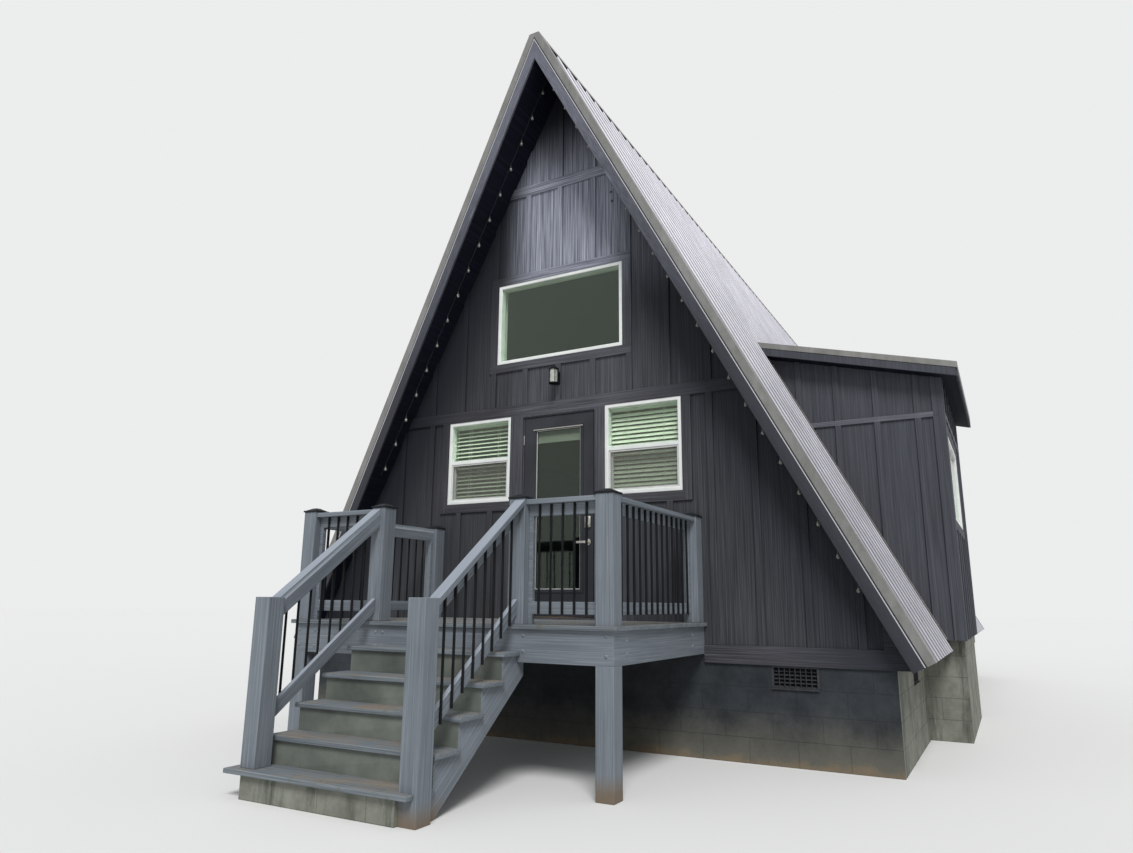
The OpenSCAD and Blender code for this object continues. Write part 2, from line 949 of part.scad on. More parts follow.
module window_blinds() {
    w = low_win_w - 2 * (lining_t + blind_gap);
    h = low_win_h - lining_t;
    color("#e8e6df") {
        at_low_window(-1) blind(w, h, slat_tilt_left);
        at_low_window(1) blind(w, h, slat_tilt_right);
    }
}

// Door
module at_door() {
    translate([door_x, front_y, door_z]) children();
}

module door_frame() {
    stop_t = 12;
    stop_y0 = door_t + door_gap;
    stop_y1 = stop_y0 + 35;
    side = door_open_w / 2;
    inner = side - jamb_t;
    sill = floor_z + threshold_h;
    color("#2d2f34")
    translate([door_x, front_y, 0])
    difference() {
        box(-side, side, 0, wall_t, floor_z, loft_z);
        box(-inner, inner, -1, stop_y0, sill, door_head_z);
        box(-inner, inner, stop_y1, wall_t + 1, sill, door_head_z);
        box(-inner + stop_t, inner - stop_t, stop_y0 - 1, stop_y1 + 1, sill, door_head_z - stop_t);
    }
}

module door_leaf() {
    color("#1f2124")
    at_door()
    difference() {
        union() {
            box(-door_w / 2, door_w / 2, 0, door_t, 0, door_h);
            box(-door_glass_w / 2 - door_lip_w, door_glass_w / 2 + door_lip_w, -door_lip_t, 1,
                door_glass_sill - door_lip_w, door_glass_sill + door_glass_h + door_lip_w);
        }
        box(-door_glass_w / 2, door_glass_w / 2, -door_lip_t - 1, door_t + 1,
            door_glass_sill, door_glass_sill + door_glass_h);
    }
}

// Bright strip over the door's glass that sheds the rain, with a sloping top
module door_drip() {
    half = door_glass_w / 2 + door_lip_w;
    color("silver")
    at_door()
    translate([0, -door_lip_t, door_glass_sill + door_glass_h + 4])
    along_x(-half, half)
    polygon([[0, 0], [0, drip_h], [-drip_h, drip_h / 2], [-drip_h, -2], [2 - drip_h, -2],
        [2 - drip_h, 0]]);
}

module door_glass() {
    color("#4a5652", 0.4)
    at_door()
    box(-door_glass_w / 2, door_glass_w / 2, door_t / 2 - 8, door_t / 2 + 8,
        door_glass_sill, door_glass_sill + door_glass_h);
}

// Hinges, drawn with the pin along Z at the origin and the leaf towards +X
hinge_x = door_x - door_w / 2 - door_gap / 2;
hinge_y = front_y - 6;

module at_hinges() {
    for (z = [hinge_inset, (door_h - hinge_h) / 2, door_h - hinge_inset - hinge_h]) {
        translate([hinge_x, hinge_y, door_z + z]) children();
    }
}

// Plate of one hinge half, with barrel pieces at the numbered fifths of its height
module hinge_half(fifths, gap) {
    plate = 2;
    step = hinge_h / 5;
    box(door_gap / 2 - plate, door_gap / 2, front_y - hinge_y, front_y - hinge_y + 38, 0, hinge_h);
    for (i = fifths) {
        translate([0, 0, i * step + gap]) {
            cylinder(r = hinge_r, h = step - 2 * gap, $fn = 12);
            box(door_gap / 2 - plate, door_gap / 2, 0, front_y - hinge_y + 1, 0, step - 2 * gap);
        }
    }
}

module door_hinges() {
    color("dimgray")
    at_hinges() {
        mirror([1, 0, 0]) hinge_half([0, 2, 4], 0);
        cylinder(r = hinge_pin_r, h = hinge_h);
    }
}

module hinge_leaves() {
    color("dimgray")
    at_hinges()
    difference() {
        hinge_half([1, 3], 0.3);
        translate([0, 0, -1]) cylinder(r = hinge_pin_r + 0.1, h = hinge_h + 2);
    }
}

// Lever handle, and a lock body with a keypad over a round turn, both faces of the leaf
module handle_side() {
    rose_r = 32;
    neck_r = 11;
    reach = 45;
    body_w = 66;
    body_h = 110;
    body_t = 18;
    rotate([90, 0, 0]) cylinder(r = rose_r, h = 8);
    rotate([90, 0, 0]) cylinder(r = neck_r, h = reach);
    translate([0, 0, -neck_r])
    linear_extrude(2 * neck_r)
    polygon([[12, -reach + 6], [12, -reach - 5], [-20, -reach - 8], [-84, -reach - 6],
        [-112, -reach + 2], [-112, -reach + 7], [-80, -reach + 4], [-20, -reach + 5]]);
    translate([0, 0, lock_h - body_h / 2])
    linear_extrude(body_h)
    polygon([[-body_w / 2, 0], [-body_w / 2, 6 - body_t], [6 - body_w / 2, -body_t],
        [body_w / 2 - 6, -body_t], [body_w / 2, 6 - body_t], [body_w / 2, 0]]);
    box(-24, 24, -body_t - 3, 1 - body_t, lock_h, lock_h + 48);
    translate([0, 0, lock_h - 28]) rotate([90, 0, 0]) cylinder(r = 17, h = 26);
}

module door_handle() {
    color("#3a3a38")
    at_door()
    translate([door_w / 2 - 60, 0, handle_h]) {
        handle_side();
        translate([0, door_t, 0]) mirror([0, 1, 0]) handle_side();
    }
}

// Wall lantern over the door
module at_lantern() {
    translate([batten_x, front_y - trim_t, loft_z + lantern_h]) children();
}

module lantern() {
    plate_w = 60;
    plate_h = 130;
    plate_t = 14;
    cage_h = 150;
    out = lantern_out - trim_t;
    color("#1c1c1e")
    at_lantern() {
        box(-plate_w / 2, plate_w / 2, -plate_t, 0, -plate_h / 2, plate_h / 2);
        box(-12, 12, -out, -plate_t, cage_h / 2 + 4, cage_h / 2 + 22);
        box(-12, 12, -plate_t - 12, -plate_t, 0, cage_h / 2 + 22);
        translate([0, -out, cage_h / 2]) cylinder(r = lantern_r, h = 12);
        translate([0, -out, cage_h / 2 + 12]) cylinder(r = lantern_r * 0.6, h = 16);
        translate([0, -out, -cage_h / 2]) cylinder(r = lantern_r, h = 10);
        for (a = [45:90:315]) {
            translate([0, -out, -cage_h / 2])
            rotate([0, 0, a])
            translate([lantern_r - 8, -3, 0]) cube([6, 6, cage_h]);
        }
    }
}

module lantern_glass() {
    cage_h = 150;
    color("#d9dcd4", 0.6)
    at_lantern()
    translate([0, -(lantern_out - trim_t), -cage_h / 2 + 10])
    cylinder(r = lantern_r - 12, h = cage_h - 10);
}

// String lights: a cord under the soffit, sockets that hang from it, and bulbs. s runs
// down the slope, and the cord lies halfway between the gable wall and the rake.
string_t = -roof_t - fit_gap - cord_r - 0.5;
string_top = -string_t * cos(roof_angle) / sin(roof_angle);
socket_r = 11;
socket_drop = 20;
socket_h = 28;

function string_pt(s) = [
    slope_pt(s, string_t)[0],
    (rake_y(slope_pt(s, string_t)[1]) + front_y) / 2,
    slope_pt(s, string_t)[1]
];
function bulbs_n(low_h) = floor((slope_s(floor_z + low_h) - string_top) / bulb_pitch);
function slope_s(z) = (apex_z - z + string_t * sin(roof_angle)) / cos(roof_angle);

// A round bar from a to b
module rod(a, b, r) {
    d = b - a;
    translate(a)
    rotate([0, acos(d[2] / norm(d)), atan2(d[1], d[0])])
    cylinder(r = r, h = norm(d), $fn = 8);
}

module at_bulbs(low_h) {
    for (i = [1:bulbs_n(low_h)]) {
        translate(string_pt(string_top + (i - 0.5) * bulb_pitch)) children();
    }
}

module light_run(low_h) {
    rod(string_pt(string_top), string_pt(string_top + bulbs_n(low_h) * bulb_pitch), cord_r);
    at_bulbs(low_h) {
        translate([0, 0, -socket_drop]) cylinder(r = cord_r, h = socket_drop, $fn = 6);
        translate([0, 0, -socket_drop - socket_h]) cylinder(r = socket_r, h = socket_h, $fn = 6);
    }
}

module light_string() {
    color("#1a1a1c") {
        light_run(string_right_h);
        mirror([1, 0, 0]) light_run(string_left_h);
    }
}

// A pear-shaped bulb in three tapers
module bulb() {
    radii = [socket_r - 1, bulb_r, 0.8 * bulb_r, 0.3 * bulb_r];
    drops = [0, 18, 34, 42];
    translate([0, 0, -socket_drop - socket_h])
    for (i = [1:3]) {
        translate([0, 0, -drops[i]])
        cylinder(r1 = radii[i], r2 = radii[i - 1], h = drops[i] - drops[i - 1], $fn = 8);
    }
}

module light_bulbs() {
    color("#d8d8cc", 0.6) {
        at_bulbs(string_right_h) bulb();
        mirror([1, 0, 0]) at_bulbs(string_left_h) bulb();
    }
}

// Dormer
wall_top_t = -dormer_roof_t - fit_gap;

module dormer_end_2d() {
    head_x = meet_x(wall_top_t, fit_gap);
    polygon([
        [slope_x(dormer_foot, fit_gap), dormer_foot],
        [head_x, dormer_z(head_x, wall_top_t)],
        [dormer_out, dormer_z(dormer_out, wall_top_t)],
        [dormer_out, dormer_foot]
    ]);
}

module dormer_side_2d() {
    inner = dormer_out - dormer_t;
    polygon([
        [inner, dormer_foot],
        [inner, dormer_z(inner, wall_top_t)],
        [dormer_out, dormer_z(dormer_out, wall_top_t)],
        [dormer_out, dormer_foot]
    ]);
}

module dormer_walls() {
    color("#26282c")
    difference() {
        union() {
            along_y(dormer_y0, dormer_y0 + dormer_t) dormer_end_2d();
            along_y(dormer_y1 - dormer_t, dormer_y1) dormer_end_2d();
            along_y(dormer_y0, dormer_y1) dormer_side_2d();
        }
        translate([0, dormer_win_y, dormer_win_z])
        box(dormer_out - wall_t - 100, dormer_out + 100,
            -dormer_win_w / 2, dormer_win_w / 2, 0, dormer_win_h);
    }
}

module dormer_floor() {
    inner = dormer_out - dormer_t;
    color("gray")
    along_y(dormer_y0 + dormer_t, dormer_y1 - dormer_t)
    difference() {
        rect(slope_x(floor_z, -roof_t) - 1, dormer_out - 10, foundation_h, floor_z);
        floor_2d();
        rect(inner, dormer_out, dormer_foot, floor_z + 1);
    }
}

module dormer_roof_2d(t0, t1, t_roof, eave) {
    x1 = dormer_eave_x + eave;
    polygon([
        [meet_x(t0, t_roof), dormer_z(meet_x(t0, t_roof), t0)],
        [meet_x(t1, t_roof), dormer_z(meet_x(t1, t_roof), t1)],
        [x1, dormer_z(x1, t1)],
        [x1, dormer_z(x1, t0)]
    ]);
}

module dormer_roof() {
    color("#2b2b2e")
    along_y(dormer_y0 - dormer_over, dormer_y1 + dormer_over)
    dormer_roof_2d(-dormer_roof_t, 0, dormer_sit, 0);
}

module dormer_metal() {
    color("#8d8c88")
    intersection() {
        translate([0, dormer_y0 - dormer_over, dormer_z(0, 0)])
        rotate([0, dormer_angle, 0]) rotate([90, 0, 90])
        linear_extrude(dormer_eave_x / cos(dormer_angle)) ribbed_2d(dormer_l + 2 * dormer_over);
        along_y(dormer_y0 - dormer_over - 1, dormer_y1 + dormer_over + 1)
        dormer_roof_2d(0, rib_h, dormer_sit, 0);
    }
}

// Metal band, boards, corner boards, cross board, battens and window trim of the dormer
module dormer_rake(y0, y1) {
    along_y(y0, y1) dormer_roof_2d(-dormer_band_h, cap_out, dormer_sit, dormer_rake_t);
    along_y(y0, y1) dormer_roof_2d(-dormer_roof_t, -dormer_band_h - drip_gap, dormer_sit, 0);
}

module dormer_end_trim_2d() {
    first = dormer_out - corner_w - 114 - batten_w;
    head_x = meet_x(wall_top_t, dormer_sit);
    side_x = dormer_out + trim_t;
    intersection() {
        union() {
            rect(dormer_out - corner_w, side_x, dormer_foot, far);
            rect(0, dormer_out, loft_z, loft_z + dormer_belt_w);
            for (i = [0:floor(dormer_out / batten_pitch)]) {
                translate([first - i * batten_pitch, 0]) square([batten_w, apex_z]);
            }
        }
        polygon([
            [slope_x(dormer_foot, dormer_sit), dormer_foot],
            [head_x, dormer_z(head_x, wall_top_t)],
            [side_x, dormer_z(side_x, wall_top_t)],
            [side_x, dormer_foot]
        ]);
    }
}

module dormer_side_trim_2d() {
    // Drawn in Y and Z
    top = dormer_z(dormer_out + trim_t, wall_top_t);
    difference() {
        union() {
            rect(dormer_y0, dormer_y0 + corner_w, dormer_foot, top);
            rect(dormer_y1 - corner_w, dormer_y1, dormer_foot, top);
            rect(dormer_win_y - dormer_win_w / 2 - dormer_win_gap,
                dormer_win_y + dormer_win_w / 2 + casing_w,
                dormer_win_z - casing_w, dormer_win_z + dormer_win_h + casing_w);
            rect(dormer_y0, dormer_y1, loft_z, loft_z + dormer_belt_w);
            for (i = [1:floor((dormer_l - corner_w - batten_w) / batten_pitch)]) {
                translate([dormer_y0 + i * batten_pitch, dormer_foot])
                square([batten_w, top - dormer_foot]);
            }
        }
        rect(dormer_win_y - dormer_win_w / 2, dormer_win_y + dormer_win_w / 2,
            dormer_win_z, dormer_win_z + dormer_win_h);
    }
}

module dormer_trim() {
    end0 = dormer_y0 - dormer_over;
    end1 = dormer_y1 + dormer_over;
    x0 = dormer_eave_x;
    x1 = dormer_eave_x + dormer_rake_t;
    color("#34363b") {
        dormer_rake(end0 - dormer_rake_t, end0);
        dormer_rake(end1, end1 + dormer_rake_t);
        along_y(end0, end1)
        polygon([
            [x0, dormer_z(x0, -dormer_roof_t)], [x0, dormer_z(x0, rib_h)],
            [x1, dormer_z(x1, rib_h)], [x1, dormer_z(x1, -dormer_roof_t)]
        ]);
        along_y(dormer_y0 - trim_t, dormer_y0) dormer_end_trim_2d();
        along_y(dormer_y1, dormer_y1 + trim_t) dormer_end_trim_2d();
        along_x(dormer_out, dormer_out + trim_t) dormer_side_trim_2d();
    }
}

// Flat strip on the ribs beside each end wall of the dormer
module flashing_strip(y0, y1) {
    foot_s = (apex_z - dormer_foot) / cos(roof_angle);
    head_x = meet_x(wall_top_t, cap_in);
    head_s = (head_x - cap_in * cos(roof_angle)) / sin(roof_angle);
    along_y(y0, y1)
    polygon([
        slope_pt(head_s, cap_in), slope_pt(head_s + 10, cap_out),
        slope_pt(foot_s, cap_out), slope_pt(foot_s, cap_in)
    ]);
}

module dormer_flashing() {
    color("#9a9a94") {
        flashing_strip(dormer_y0 - trim_t - flashing_w, dormer_y0 - trim_t);
        flashing_strip(dormer_y1 + trim_t, dormer_y1 + trim_t + flashing_w);
    }
}

// Deck
module deck_rims() {
    z1 = deck_h - board_t;
    box(-deck_half, deck_half, deck_front, deck_front + timber_t, joist_z, z1);
    box(-deck_half, -deck_half + timber_t, deck_front, front_y, joist_z, z1);
    box(deck_half - timber_t, deck_half, deck_front, front_y, joist_z, z1);
    box(-deck_half, deck_half, front_y - timber_t, front_y, joist_z, z1);
}

module deck_frame() {
    inner = deck_w - 2 * timber_t;
    n = ceil(inner / batten_pitch);
    color("#566069") {
        deck_rims();
        for (i = [1:n - 1]) {
            x = -inner / 2 + i * inner / n;
            box(x - timber_t / 2, x + timber_t / 2, deck_front + timber_t - 1,
                front_y - timber_t + 1, joist_z, deck_h - board_t);
        }
    }
}

// Post positions: outer corners of the deck, both sides of the stair, at the wall
corner_post_x = deck_half - post_w / 2;
front_post_y = deck_front + post_w / 2;
wall_post_y = front_y - post_w / 2;

module post_at(x, y, z0, z1) {
    box(x - post_w / 2, x + post_w / 2, y - post_w / 2, y + post_w / 2, z0, z1);
}

module corner_posts() {
    both_sides() post_at(corner_post_x, front_post_y, 0, post_top);
}

module deck_boards() {
    color("#6b747c")
    difference() {
        box(-deck_half - board_over, deck_half + board_over, deck_front - board_over, front_y,
            deck_h - board_t, deck_h);
        corner_posts();
    }
}

module deck_posts() {
    color("#6f7884") {
        difference() {
            corner_posts();
            deck_rims();
        }
        for (side = [-1, 1]) {
            post_at(stair_x + side * stair_post_x, front_post_y, deck_h, post_top);
        }
        both_sides() post_at(corner_post_x, wall_post_y, deck_h, post_top);
    }
}

module post_cap_at(x, y, back) {
    half = post_w / 2 + cap_over;
    rim = 14;
    translate([x, y, post_top]) {
        box(-half, half, -half, min(half, back), 0, rim);
        translate([0, 0, rim])
        linear_extrude(cap_h - rim, scale = 0.3)
        square([post_w, post_w], center = true);
    }
}

module post_caps() {
    color("#33363b") {
        both_sides() post_cap_at(corner_post_x, front_post_y, far);
        for (side = [-1, 1]) {
            post_cap_at(stair_x + side * stair_post_x, front_post_y, far);
        }
        both_sides() post_cap_at(corner_post_x, wall_post_y, post_w / 2);
    }
}

// A level rail panel drawn along X from 0 to length, its outer side towards -Y
bar_y = 8;

module level_panel(length) {
    z1 = deck_h + rail_h;
    z0 = deck_h + rail_gap;
    bar_top = z1 - timber_t;
    box(0, length, -rail_w / 2, rail_w / 2, bar_top, z1);
    box(0, length, bar_y, bar_y + timber_t, bar_top - bar_h, bar_top);
    box(0, length, bar_y, bar_y + timber_t, z0, z0 + bar_h);
    for (x = [0, length - timber_t]) {
        box(x, x + timber_t, bar_y, bar_y + timber_t, deck_h, bar_top);
    }
}

module level_balusters(length) {
    n = ceil(length / baluster_pitch);
    z0 = deck_h + rail_gap;
    z1 = deck_h + rail_h - timber_t;
    for (i = [1:n - 1]) {
        translate([i * length / n, bar_y - baluster_d / 2, z0])
        cylinder(d = baluster_d, h = z1 - z0, $fn = 12);
    }
}

rail_y = deck_front + rail_w / 2 + 12;
rail_x = deck_half - rail_w / 2 - 12;
left_run = stair_x - stair_post_x + corner_post_x - post_w;
right_run = corner_post_x - stair_x - stair_post_x - post_w;
side_run = deck_d - 2 * post_w;

module at_front_left() {
    translate([-corner_post_x + post_w / 2, rail_y, 0]) children();
}

module at_front_right() {
    translate([stair_x + stair_post_x + post_w / 2, rail_y, 0]) children();
}

module at_side_right() {
    translate([rail_x, deck_front + post_w, 0]) rotate([0, 0, 90]) children();
}

module at_side_left() {
    mirror([1, 0, 0]) at_side_right() children();
}

module rail_front_left() {
    color("#6f7884") at_front_left() level_panel(left_run);
}

module rail_front_right() {
    color("#6f7884") at_front_right() level_panel(right_run);
}

module rail_side_left() {
    color("#6f7884") at_side_left() level_panel(side_run);
}

module rail_side_right() {
    color("#6f7884") at_side_right() level_panel(side_run);
}

// Stair
function nosing_y(k) = first_nosing + (k - 1) * step_run;
function tread_z(k) = k * rise;
function under_tread(k) = tread_z(k) - board_t - fit_gap;

module at_stair() {
    translate([stair_x, 0, 0]) children();
}

stringer_x = tread_w / 2 - tread_over;

// Lower edge of a stringer at y
function stringer_z(y) =
    under_tread(treads_n) - stringer_d / cos(pitch)
    + (y - nosing_y(treads_n) - nosing) * tan(pitch);
stringer_foot = nosing_y(treads_n) + nosing
    - (under_tread(treads_n) - stringer_d / cos(pitch)) / tan(pitch);

// Drawn in Y and Z: steps above, a straight lower edge, level feet
module stringer_2d() {
    front = newel_y + post_w + stringer_gap;
    back = deck_front + stringer_under;
    polygon(concat(
        [[front, 0], [front, under_tread(1)]],
        [for (k = [2:treads_n], z = [under_tread(k - 1), under_tread(k)])
            [nosing_y(k) + nosing + riser_t, z]],
        [
            [deck_front, under_tread(treads_n)], [deck_front, joist_z],
            [back, joist_z], [back, stringer_z(back)], [stringer_foot, 0]
        ]
    ));
}

module stair_frame() {
    color("#566069")
    at_stair() {
        for (x = [-stringer_x, -timber_t / 2, stringer_x - timber_t]) {
            along_x(x, x + timber_t) stringer_2d();
        }
        for (k = [2:treads_n]) {
            box(-stringer_x, stringer_x, nosing_y(k) + nosing, nosing_y(k) + nosing + riser_t,
                under_tread(k - 1), under_tread(k));
        }
    }
}

module stair_treads() {
    color("#6b747c") {
        at_stair()
        for (k = [2:treads_n]) {
            back = k == treads_n ? deck_front : nosing_y(k + 1) + nosing;
            box(-tread_w / 2, tread_w / 2, nosing_y(k), back, tread_z(k) - board_t, tread_z(k));
        }
        difference() {
            translate([first_tread_x, 0, 0])
            box(-first_tread_w / 2, first_tread_w / 2, nosing_y(1), nosing_y(2) + nosing,
                tread_z(1) - board_t, tread_z(1));
            post_at(stair_x + stair_post_x, newel_y + post_w / 2, 0, newel_h);
        }
    }
}

module stair_posts() {
    color("#6f7884") {
        post_at(stair_x - stair_post_x, newel_y + post_w / 2, tread_z(1), newel_h);
        post_at(stair_x + stair_post_x, newel_y + post_w / 2, 0, newel_h);
    }
}

module stair_footing() {
    color("gray")
    box(stair_x - stringer_x, stair_x + stair_post_x - post_w / 2, first_nosing + footing_back,
        newel_y + post_w + stringer_gap, 0, under_tread(1));
}

// Sloping rail panels, drawn in Y and Z between a lower post and an upper post
rail_low_y = newel_y + post_w;
rail_low_z = newel_h;
rail_high_y = deck_front;
rail_slope = (deck_h + rail_h - rail_low_z) / (rail_high_y - rail_low_y);

module slope_bar_2d(drop0, drop1) {
    polygon([
        [rail_low_y, rail_low_z - drop0], [rail_high_y, deck_h + rail_h - drop0],
        [rail_high_y, deck_h + rail_h - drop1], [rail_low_y, rail_low_z - drop1]
    ]);
}

bar_drop = timber_t / cos(atan(rail_slope));
bar_deep = bar_h / cos(atan(rail_slope));

module stair_panel() {
    // Outer side towards +X, centred on x = 0
    along_x(-rail_w / 2, rail_w / 2) slope_bar_2d(0, bar_drop);
    along_x(-bar_y - timber_t, -bar_y) {
        slope_bar_2d(bar_drop, bar_drop + bar_deep);
        slope_bar_2d(stair_rail_deep - bar_deep, stair_rail_deep);
    }
}

module stair_balusters() {
    run = rail_high_y - rail_low_y;
    n = ceil(run / baluster_pitch);
    for (i = [1:n - 1]) {
        y = rail_low_y + i * run / n;
        z = rail_low_z + (y - rail_low_y) * rail_slope;
        translate([-bar_y + baluster_d / 2, y, z - stair_rail_deep])
        cylinder(d = baluster_d, h = stair_rail_deep - bar_drop - 8, $fn = 12);
    }
}

stair_rail_x = stair_post_x + post_w / 2 - rail_w / 2;

module at_stair_right() {
    translate([stair_x + stair_rail_x, 0, 0]) children();
}

module at_stair_left() {
    translate([stair_x - stair_rail_x, 0, 0]) mirror([1, 0, 0]) children();
}

module rail_stair_left() {
    color("#6f7884") at_stair_left() stair_panel();
}

module rail_stair_right() {
    color("#6f7884") at_stair_right() stair_panel();
}

module balusters() {
    color("#1c1c1e") {
        at_front_left() level_balusters(left_run);
        at_front_right() level_balusters(right_run);
        at_side_left() level_balusters(side_run);
        at_side_right() level_balusters(side_run);
        at_stair_left() stair_balusters();
        at_stair_right() stair_balusters();
    }
}

foundation();
foundation_vents();
floor();
loft_floor();
front_wall_left();
front_wall_right();
front_wall_gable();
rear_wall();
roof_left();
roof_right();
roof_metal_left();
roof_metal_right();
ridge_cap();
rake_metal();
rake_boards();
gable_trim();
gable_battens();
lower_windows();
upper_window();
dormer_window();
lower_glass();
upper_glass();
dormer_glass();
screen_frames();
window_linings();
window_blinds();
door_frame();
door_hinges();
door_leaf();
hinge_leaves();
door_glass();
door_drip();
door_handle();
lantern();
lantern_glass();
light_string();
light_bulbs();
dormer_walls();
dormer_floor();
dormer_roof();
dormer_metal();
dormer_trim();
dormer_flashing();
deck_frame();
deck_boards();
deck_posts();
post_caps();
rail_front_left();
rail_front_right();
rail_side_left();
rail_side_right();
rail_stair_left();
rail_stair_right();
balusters();
stair_frame();
stair_treads();
stair_posts();
stair_footing();
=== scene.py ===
# %% [markdown]
# # A small A-frame cabin
# The solids of the cabin come packed, each in its own place. This notebook gives them their
# finishes, rounds the edges that a saw and sandpaper round, and adds what is too small or too
# many for the solids: deck boards, roof screws, bolts, insect screens and a string of bulbs.

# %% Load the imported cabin
import bpy
import bmesh
import json
import math
import random
from mathutils import Matrix, Vector

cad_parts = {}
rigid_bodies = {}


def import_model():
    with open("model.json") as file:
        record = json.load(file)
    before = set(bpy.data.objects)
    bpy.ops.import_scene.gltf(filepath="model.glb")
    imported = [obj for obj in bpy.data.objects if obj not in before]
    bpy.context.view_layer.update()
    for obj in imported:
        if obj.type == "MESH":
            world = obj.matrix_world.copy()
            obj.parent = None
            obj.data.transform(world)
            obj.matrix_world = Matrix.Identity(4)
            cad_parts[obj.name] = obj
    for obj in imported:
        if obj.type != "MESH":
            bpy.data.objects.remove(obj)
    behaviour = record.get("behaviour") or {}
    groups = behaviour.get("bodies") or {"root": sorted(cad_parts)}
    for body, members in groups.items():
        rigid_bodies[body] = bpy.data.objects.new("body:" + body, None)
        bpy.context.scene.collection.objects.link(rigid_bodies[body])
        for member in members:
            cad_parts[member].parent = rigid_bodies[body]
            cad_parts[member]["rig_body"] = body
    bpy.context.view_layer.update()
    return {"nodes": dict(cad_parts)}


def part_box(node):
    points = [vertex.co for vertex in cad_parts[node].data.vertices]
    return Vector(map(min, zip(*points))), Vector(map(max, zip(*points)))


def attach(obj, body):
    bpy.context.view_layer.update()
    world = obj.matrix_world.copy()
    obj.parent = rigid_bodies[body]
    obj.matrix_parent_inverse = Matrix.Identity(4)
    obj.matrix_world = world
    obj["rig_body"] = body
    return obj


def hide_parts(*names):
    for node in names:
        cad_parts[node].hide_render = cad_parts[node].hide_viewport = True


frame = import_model()
nodes = frame["nodes"]
mm = 0.001
print("cabin loaded:", len(nodes), "nodes")

# %% [markdown]
# ## Measures
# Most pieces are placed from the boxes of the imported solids. The roof needs a little more: its
# angle, its apex and the spacing of its ribs, so that screws and small ribs land where a roofer
# sets them. s runs down the slope from the apex, t outward from the roof boards.

# %% Sizes in metres, read from the solids or repeated from their source
house_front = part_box("foundation")[0].y
house_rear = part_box("foundation")[1].y
deck_low, deck_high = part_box("deck_boards")
roof_angle = math.radians(27.3)
apex = 7.403
slope_length = 7.3575
roof_foot = 0.865
rib_pitch = 0.229
rib_height = 0.022
rib_count = 53
first_rib = -0.539
sheet_thickness = 0.003
rake_at_foot = -0.21
rake_lean = 0.06806
dormer_from, dormer_to = 1.93, 4.33
dormer_head = 4.2
ahead, rightwards, up = Vector((0, -1, 0)), Vector((1, 0, 0)), Vector((0, 0, 1))
stair_rise, stair_going, first_nosing = 0.18917, 0.244, -3.113
stair_angle = math.atan2(stair_rise, stair_going)


def on_slope(s, t, y, side=1):
    """The point at s down the slope and t above its boards; side is 1 right, -1 left."""
    x = s * math.sin(roof_angle) + t * math.cos(roof_angle)
    return Vector((side * x, y, apex - s * math.cos(roof_angle) + t * math.sin(roof_angle)))


def rake(z):
    """Y of the front rake plane at height z."""
    return rake_at_foot - (z - roof_foot) * rake_lean


def slope_normal(side):
    """The direction out of a roof slope; side is 1 right, -1 left."""
    return Vector((side * math.cos(roof_angle), 0, math.sin(roof_angle)))


# %% [markdown]
# ## Helpers
# A colour is written as it looks on a screen, and one function turns it to linear light. One
# more adds a node with its settings and links, so that a material or a recipe of geometry
# nodes reads as a list. A real finish is built up in layers, such as stain, wear and dirt, and so
# is each colour here. Every layer has a cover that follows a noise, a height or a direction.

# %% Colour and node helpers
def linear(code, alpha=1.0):
    """An sRGB hex colour as linear red, green, blue and alpha."""
    parts = [int(code[i:i + 2], 16) / 255 for i in (1, 3, 5)]
    return [p / 12.92 if p <= 0.04045 else ((p + 0.055) / 1.055) ** 2.4 for p in parts] + [alpha]


def add(tree, kind, inputs=None, **settings):
    """A new node in tree. An input is a value, a hex colour, an output socket that it is linked
    to, or a node, whose first output it then takes."""
    made = tree.nodes.new(kind)
    for key, value in settings.items():
        setattr(made, key, value)
    for key, value in (inputs or {}).items():
        if isinstance(value, bpy.types.Node):
            value = value.outputs[0]
        elif isinstance(value, str) and value.startswith("#"):
            value = linear(value)
        if isinstance(value, bpy.types.NodeSocket):
            tree.links.new(value, made.inputs[key])
        else:
            made.inputs[key].default_value = value
    return made


def new_material(name):
    """An empty material, its tree and the place of each point on the object."""
    material = bpy.data.materials.new(name)
    material.use_nodes = True
    tree = material.node_tree
    tree.nodes.clear()
    return material, tree, add(tree, "ShaderNodeTexCoord").outputs["Object"]


def close_material(tree, shader):
    """Ends a material with the given shader."""
    add(tree, "ShaderNodeOutputMaterial", {"Surface": shader})


def layered(tree, colour, layers, soft=False):
    """Lays finishes over a colour. A layer is a source, the two values of the source between
    which it changes, how much it covers at each of them, and its colour."""
    for source, start, end, cover_at_start, cover_at_end, over in layers:
        cover = add(tree, "ShaderNodeMapRange", {
            "Value": source, "From Min": start, "From Max": end,
            "To Min": cover_at_start, "To Max": cover_at_end,
        }, interpolation_type="SMOOTHSTEP" if soft else "LINEAR")
        mixed = add(tree, "ShaderNodeMix", {"Factor": cover, "A": colour, "B": over},
                    data_type="RGBA")
        colour = mixed.outputs["Result"]
    return colour


def set_ramp(node, stops):
    """Fills a colour ramp with pairs of position and hex colour."""
    ramp = node.color_ramp
    for index, (position, code) in enumerate(stops):
        stop = ramp.elements[index] if index < 2 else ramp.elements.new(position)
        stop.position = position
        stop.color = linear(code)


print("a middle grey on a screen is", round(linear("#808080")[0], 3), "in linear light")

# %% [markdown]
# ## Stained wood
# The walls are rough-sawn plywood with battens, coated with a solid black stain. Such a stain
# hides the colour of the wood but not its saw marks: pale and dark streaks run along the grain.
# The open middle of a gable is paler, a grey violet that is partly faded by sun and rain and
# partly a painted sheen of sky light. The strip under the eaves is darkened as painted shade.
# Where each of these begins and ends is worked out from the place on the wall.

# %% Places on the walls and the roof
soffit_depth = 0.165
# How far from the soffit the painted shade of the eaves reaches
eave_shade_reach = 0.95


